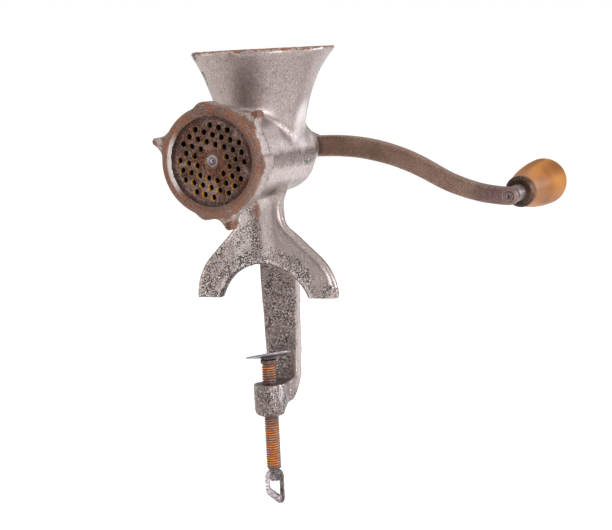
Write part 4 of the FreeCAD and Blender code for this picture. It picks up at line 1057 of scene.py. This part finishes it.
@dataclass
class Casting:
    """The body casting with the pin that keys its plate."""

    skin_mm: float = 1.0
    blend_rings: int = 7
    blend_rounds: int = 90
    axis_z_mm: float = 90.0
    bore_mm: float = 22.2
    bore_run_mm: tuple[float, float] = (-60.0, 29.5)
    mouth_mm: float = 28.6
    mouth_run_mm: tuple[float, float] = (-58.5, -44.0)
    journal_mm: float = 10.2
    journal_run_mm: tuple[float, float] = (25.0, 61.5)
    screw_hole_mm: float = 6.0
    screw_run_mm: tuple[float, float] = (-74.0, -54.5)
    pin_edge_mm: float = 0.15
    pieces: dict[str, bpy.types.Object] = field(default_factory=dict)

    def build(self) -> None:
        """Make the casting and its pin."""
        axis = (0.0, 0.0, self.axis_z_mm)
        bores = (
            Bore(Along.Y, axis, self.bore_mm, *self.bore_run_mm),
            Bore(Along.Y, axis, self.mouth_mm, *self.mouth_run_mm),
            Bore(Along.Y, axis, self.journal_mm, *self.journal_run_mm),
            Bore(Along.Z, (0.0, 0.0, 0.0), self.screw_hole_mm, *self.screw_run_mm),
        )
        self.pieces["body"] = CastPiece("body_casting", "frame", "tinned_iron", self.skin_mm,
                                        self.blend_rounds, self.blend_rings, bores=bores).build()
        self.pieces["pin"] = MachinedPiece("plate_key_pin", "frame", "plate_steel",
                                           self.pin_edge_mm).build()

    def dress(self) -> None:
        """Tin the casting and stain the pin."""
        coat(self.pieces["body"], TINNED_IRON.make())
        coat(self.pieces["pin"], STAINED_PIN.make())


@dataclass
class CutterHead:
    """Ring nut, holed plate, knife, auger and its stud."""

    nut_skin_mm: float = 0.6
    auger_skin_mm: float = 0.8
    plate_edge_mm: float = 0.42
    stud_edge_mm: float = 0.4
    axis_z_mm: float = 90.0
    core_mm: float = 4.6
    core_run_mm: tuple[float, float] = (-60.0, 100.0)
    pieces: dict[str, bpy.types.Object] = field(default_factory=dict)

    def build(self) -> None:
        """Make the pieces of the cutting end."""
        self.pieces["nut"] = CastPiece("ring_nut", "nut", "nut_iron", self.nut_skin_mm,
                                       polish_rounds=3).build()
        core = Bore(Along.Y, (0.0, 0.0, self.axis_z_mm), self.core_mm, *self.core_run_mm)
        self.pieces["auger"] = CastPiece("auger", "rotor", "auger_iron", self.auger_skin_mm,
                                         bores=(core,)).build()
        self.pieces["plate"] = MachinedPiece("cutter_plate", "plate", "plate_steel",
                                             self.plate_edge_mm).build()
        self.pieces["knife"] = MachinedPiece("cutter_knife", "rotor", "plate_steel").build()
        self.pieces["stud"] = MachinedPiece("auger_stud", "rotor", "bright_steel",
                                            self.stud_edge_mm).build()
        self.pieces["washer"] = MachinedPiece("thrust_washer", "rotor", "bright_steel").build()

    def dress(self) -> None:
        """Give each piece its metal."""
        bright = BRIGHT_STEEL.make()
        plate = PlateSteel().make()
        coat(self.pieces["nut"], NUT_IRON.make())
        coat(self.pieces["auger"], AUGER_IRON.make())
        coat(self.pieces["plate"], plate)
        coat(self.pieces["knife"], plate)
        coat(self.pieces["stud"], bright)
        coat(self.pieces["washer"], bright)


@dataclass
class Crank:
    """The crank arm with the screw and washer that hold it."""

    arm_skin_mm: float = 0.6
    screw_skin_mm: float = 0.4
    pieces: dict[str, bpy.types.Object] = field(default_factory=dict)

    def build(self) -> None:
        """Make the arm, washer and wing screw."""
        self.pieces["arm"] = CastPiece("crank_arm", "rotor", "crank_iron", self.arm_skin_mm,
                                       polish_rounds=4).build()
        self.pieces["washer"] = MachinedPiece("crank_washer", "washer", "crank_iron").build()
        self.pieces["screw"] = CastPiece("crank_screw", "wing_screw", "crank_iron", self.screw_skin_mm,
                                         fillet_rounds=8, fillet_rings=2, uneven_mm=0.04).build()

    def dress(self) -> None:
        """Brown all three."""
        iron = CRANK_IRON.make()
        for piece in self.pieces.values():
            coat(piece, iron)


@dataclass
class Handle:
    """The turning wooden grip on its spindle."""

    axis_at: Triple = (0.1394, 0.0682, 0.0560)
    rise: float = math.radians(3.2)
    spindle_edge_mm: float = 0.3
    collar_skin_mm: float = 0.35
    grip_edge_mm: float = 0.8
    pieces: dict[str, bpy.types.Object] = field(default_factory=dict)

    def build(self) -> None:
        """Make spindle, collar, grip and end washer."""
        self.pieces["spindle"] = MachinedPiece("handle_spindle", "rotor", "spindle_steel",
                                               self.spindle_edge_mm).build()
        self.pieces["collar"] = CastPiece("handle_collar", "rotor", "crank_iron", self.collar_skin_mm,
                                          fillet_rounds=2, fillet_rings=1, uneven_mm=0.05,
                                          ripple_mm=4).build()
        self.pieces["grip"] = MachinedPiece("wooden_grip", "grip", "turned_wood", self.grip_edge_mm).build()
        self.pieces["end"] = MachinedPiece("end_washer", "rotor", "spindle_steel").build()

    def dress(self) -> None:
        """Varnish the wood and tarnish the steel."""
        steel = SPINDLE_STEEL.make()
        coat(self.pieces["spindle"], steel)
        coat(self.pieces["end"], steel)
        coat(self.pieces["collar"], COLLAR_IRON.make())
        coat(self.pieces["grip"], VarnishedWood(centre=self.axis_at, rise=self.rise).make())


@dataclass
class Clamp:
    """The clamp screw with its swivelling pad and turning loop."""

    loop_skin_mm: float = 0.35
    pad_skin_mm: float = 0.4
    thread_crease: float = math.radians(50)
    pieces: dict[str, bpy.types.Object] = field(default_factory=dict)

    def build(self) -> None:
        """Make screw, collar, pad, loop and rivet."""
        self.pieces["screw"] = MachinedPiece("clamp_screw", "screw", "rusted_steel", edge_mm=0.0,
                                             crease=self.thread_crease).build()
        self.pieces["collar"] = MachinedPiece("pad_collar", "screw_carrier", "rusted_steel").build()
        self.pieces["pad"] = CastPiece("clamp_pad", "pad", "dark_steel", self.pad_skin_mm, fillet_rounds=6,
                                       fillet_rings=2, uneven_mm=0.06).build()
        self.pieces["loop"] = CastPiece("screw_loop", "screw", "loop_iron", self.loop_skin_mm,
                                        fillet_rounds=6, fillet_rings=2, uneven_mm=0.12,
                                        ripple_mm=3).build()
        self.pieces["rivet"] = MachinedPiece("loop_rivet", "screw", "dark_steel").build()

    def dress(self) -> None:
        """Rust the thread, blacken the pad, pit the loop."""
        thread = RustyThread().make()
        dark = DARK_STEEL.make()
        coat(self.pieces["screw"], thread)
        coat(self.pieces["collar"], thread)
        coat(self.pieces["pad"], dark)
        coat(self.pieces["rivet"], dark)
        coat(self.pieces["loop"], LOOP_IRON.make())


@dataclass
class Studio:
    """Pale floor, soft lights and the camera."""

    eye: Triple = (0.563709832, -1.102331838, 0.159301914)
    right: Triple = (0.901187, 0.430565, -0.049753)
    up: Triple = (-0.00388, 0.122799, 0.992424)
    forward: Triple = (-0.433413, 0.894167, -0.112336)
    lens: float = 117.647
    sensor: float = 36.0
    floor_z: float = -0.20
    floor_half: float = 40.0
    paper: str = "#FAFAFA"
    paper_rough: float = 0.9
    ceiling: float = 2.25
    ceiling_angle: float = math.radians(120)
    tent: float = 0.42
    aim: Triple = (0.02, 0.0, 0.05)

    def floor(self) -> None:
        """Lay the pale floor."""
        bm = bmesh.new()
        bmesh.ops.create_grid(bm, x_segments=1, y_segments=1, size=self.floor_half)
        bmesh.ops.translate(bm, verts=bm.verts, vec=(0, 0, self.floor_z))
        floor = new_object("studio_floor", bm)
        # Matt white backdrop paper: no gloss, so only soft shade shows on it.
        material = bpy.data.materials.new("pale_paper")
        material.use_nodes = True
        shader = material.node_tree.nodes["Principled BSDF"]
        shader.inputs["Base Color"].default_value = linear(self.paper)
        shader.inputs["Roughness"].default_value = self.paper_rough
        coat(floor, material)

    def lamp(self, name: str, place: Triple, size: float, watts: float, tint: str) -> None:
        """Hang a square soft light that faces the grinder.

        Args:
            name: the light's name.
            place: where it hangs.
            size: its side.
            watts: its power.
            tint: its colour as #RRGGBB.
        """
        data = bpy.data.lights.new(name, "AREA")
        data.size = size
        data.energy = watts
        data.color = linear(tint)[:3]
        lamp = bpy.data.objects.new(name, data)
        lamp.location = place
        beam = Vector(self.aim) - Vector(place)
        lamp.rotation_euler = beam.to_track_quat("-Z", "Y").to_euler()
        bpy.context.scene.collection.objects.link(lamp)

    def skylight(self) -> None:
        """Light the floor and every top evenly from a wide ceiling."""
        data = bpy.data.lights.new("ceiling", "SUN")
        data.energy = self.ceiling
        data.angle = self.ceiling_angle
        light = bpy.data.objects.new("ceiling", data)
        light.location = (0.0, 0.0, 2.0)
        bpy.context.scene.collection.objects.link(light)

    def build(self) -> None:
        """Set up floor, sky, lamps and camera."""
        scene = bpy.context.scene
        self.floor()
        world = bpy.data.worlds.new("white_tent")
        world.use_nodes = True
        tree = world.node_tree
        tree.nodes.clear()
        # The tent's cloth is seen white, and lights the grinder more softly than the windows do.
        path = add_node(tree, "LightPath")
        seen = add_node(tree, "Background", {"Color": linear("#FFFFFF"), "Strength": 1.0})
        cast = add_node(tree, "Background", {"Color": linear("#FFFFFF"), "Strength": self.tent})
        mixed = add_node(tree, "MixShader", {0: (path, "Is Camera Ray"), 1: (cast, 0), 2: (seen, 0)})
        add_node(tree, "OutputWorld", {"Surface": (mixed, 0)})
        scene.world = world
        self.lamp("left_window", (-1.7, -0.4, 0.5), size=1.0, watts=9.0, tint="#FFF6EE")
        self.lamp("front_window", (1.5, -1.15, 0.3), size=0.9, watts=22.0, tint="#F4F8FF")
        self.lamp("rear_window", (1.4, 1.1, 0.5), size=0.8, watts=22.0, tint="#EEF4FF")
        self.skylight()
        data = bpy.data.cameras.new("photo_camera")
        data.lens = self.lens
        data.sensor_width = self.sensor
        data.sensor_fit = "HORIZONTAL"
        camera = bpy.data.objects.new("photo_camera", data)
        turn = Matrix((self.right, self.up, tuple(-part for part in self.forward))).transposed()
        camera.matrix_world = Matrix.Translation(self.eye) @ turn.to_4x4()
        scene.collection.objects.link(camera)
        scene.camera = camera
        scene.view_settings.view_transform = "Standard"


def main() -> None:
    """Build and dress every sub-assembly, then light it."""
    logging.basicConfig(level=logging.INFO, format="%(name)s: %(message)s")
    for part in (Casting(), CutterHead(), Crank(), Handle(), Clamp()):
        part.build()
        part.dress()
        LOG.info("%s is dressed", type(part).__name__)
    Studio().build()


if __name__ == "__main__":
    main()
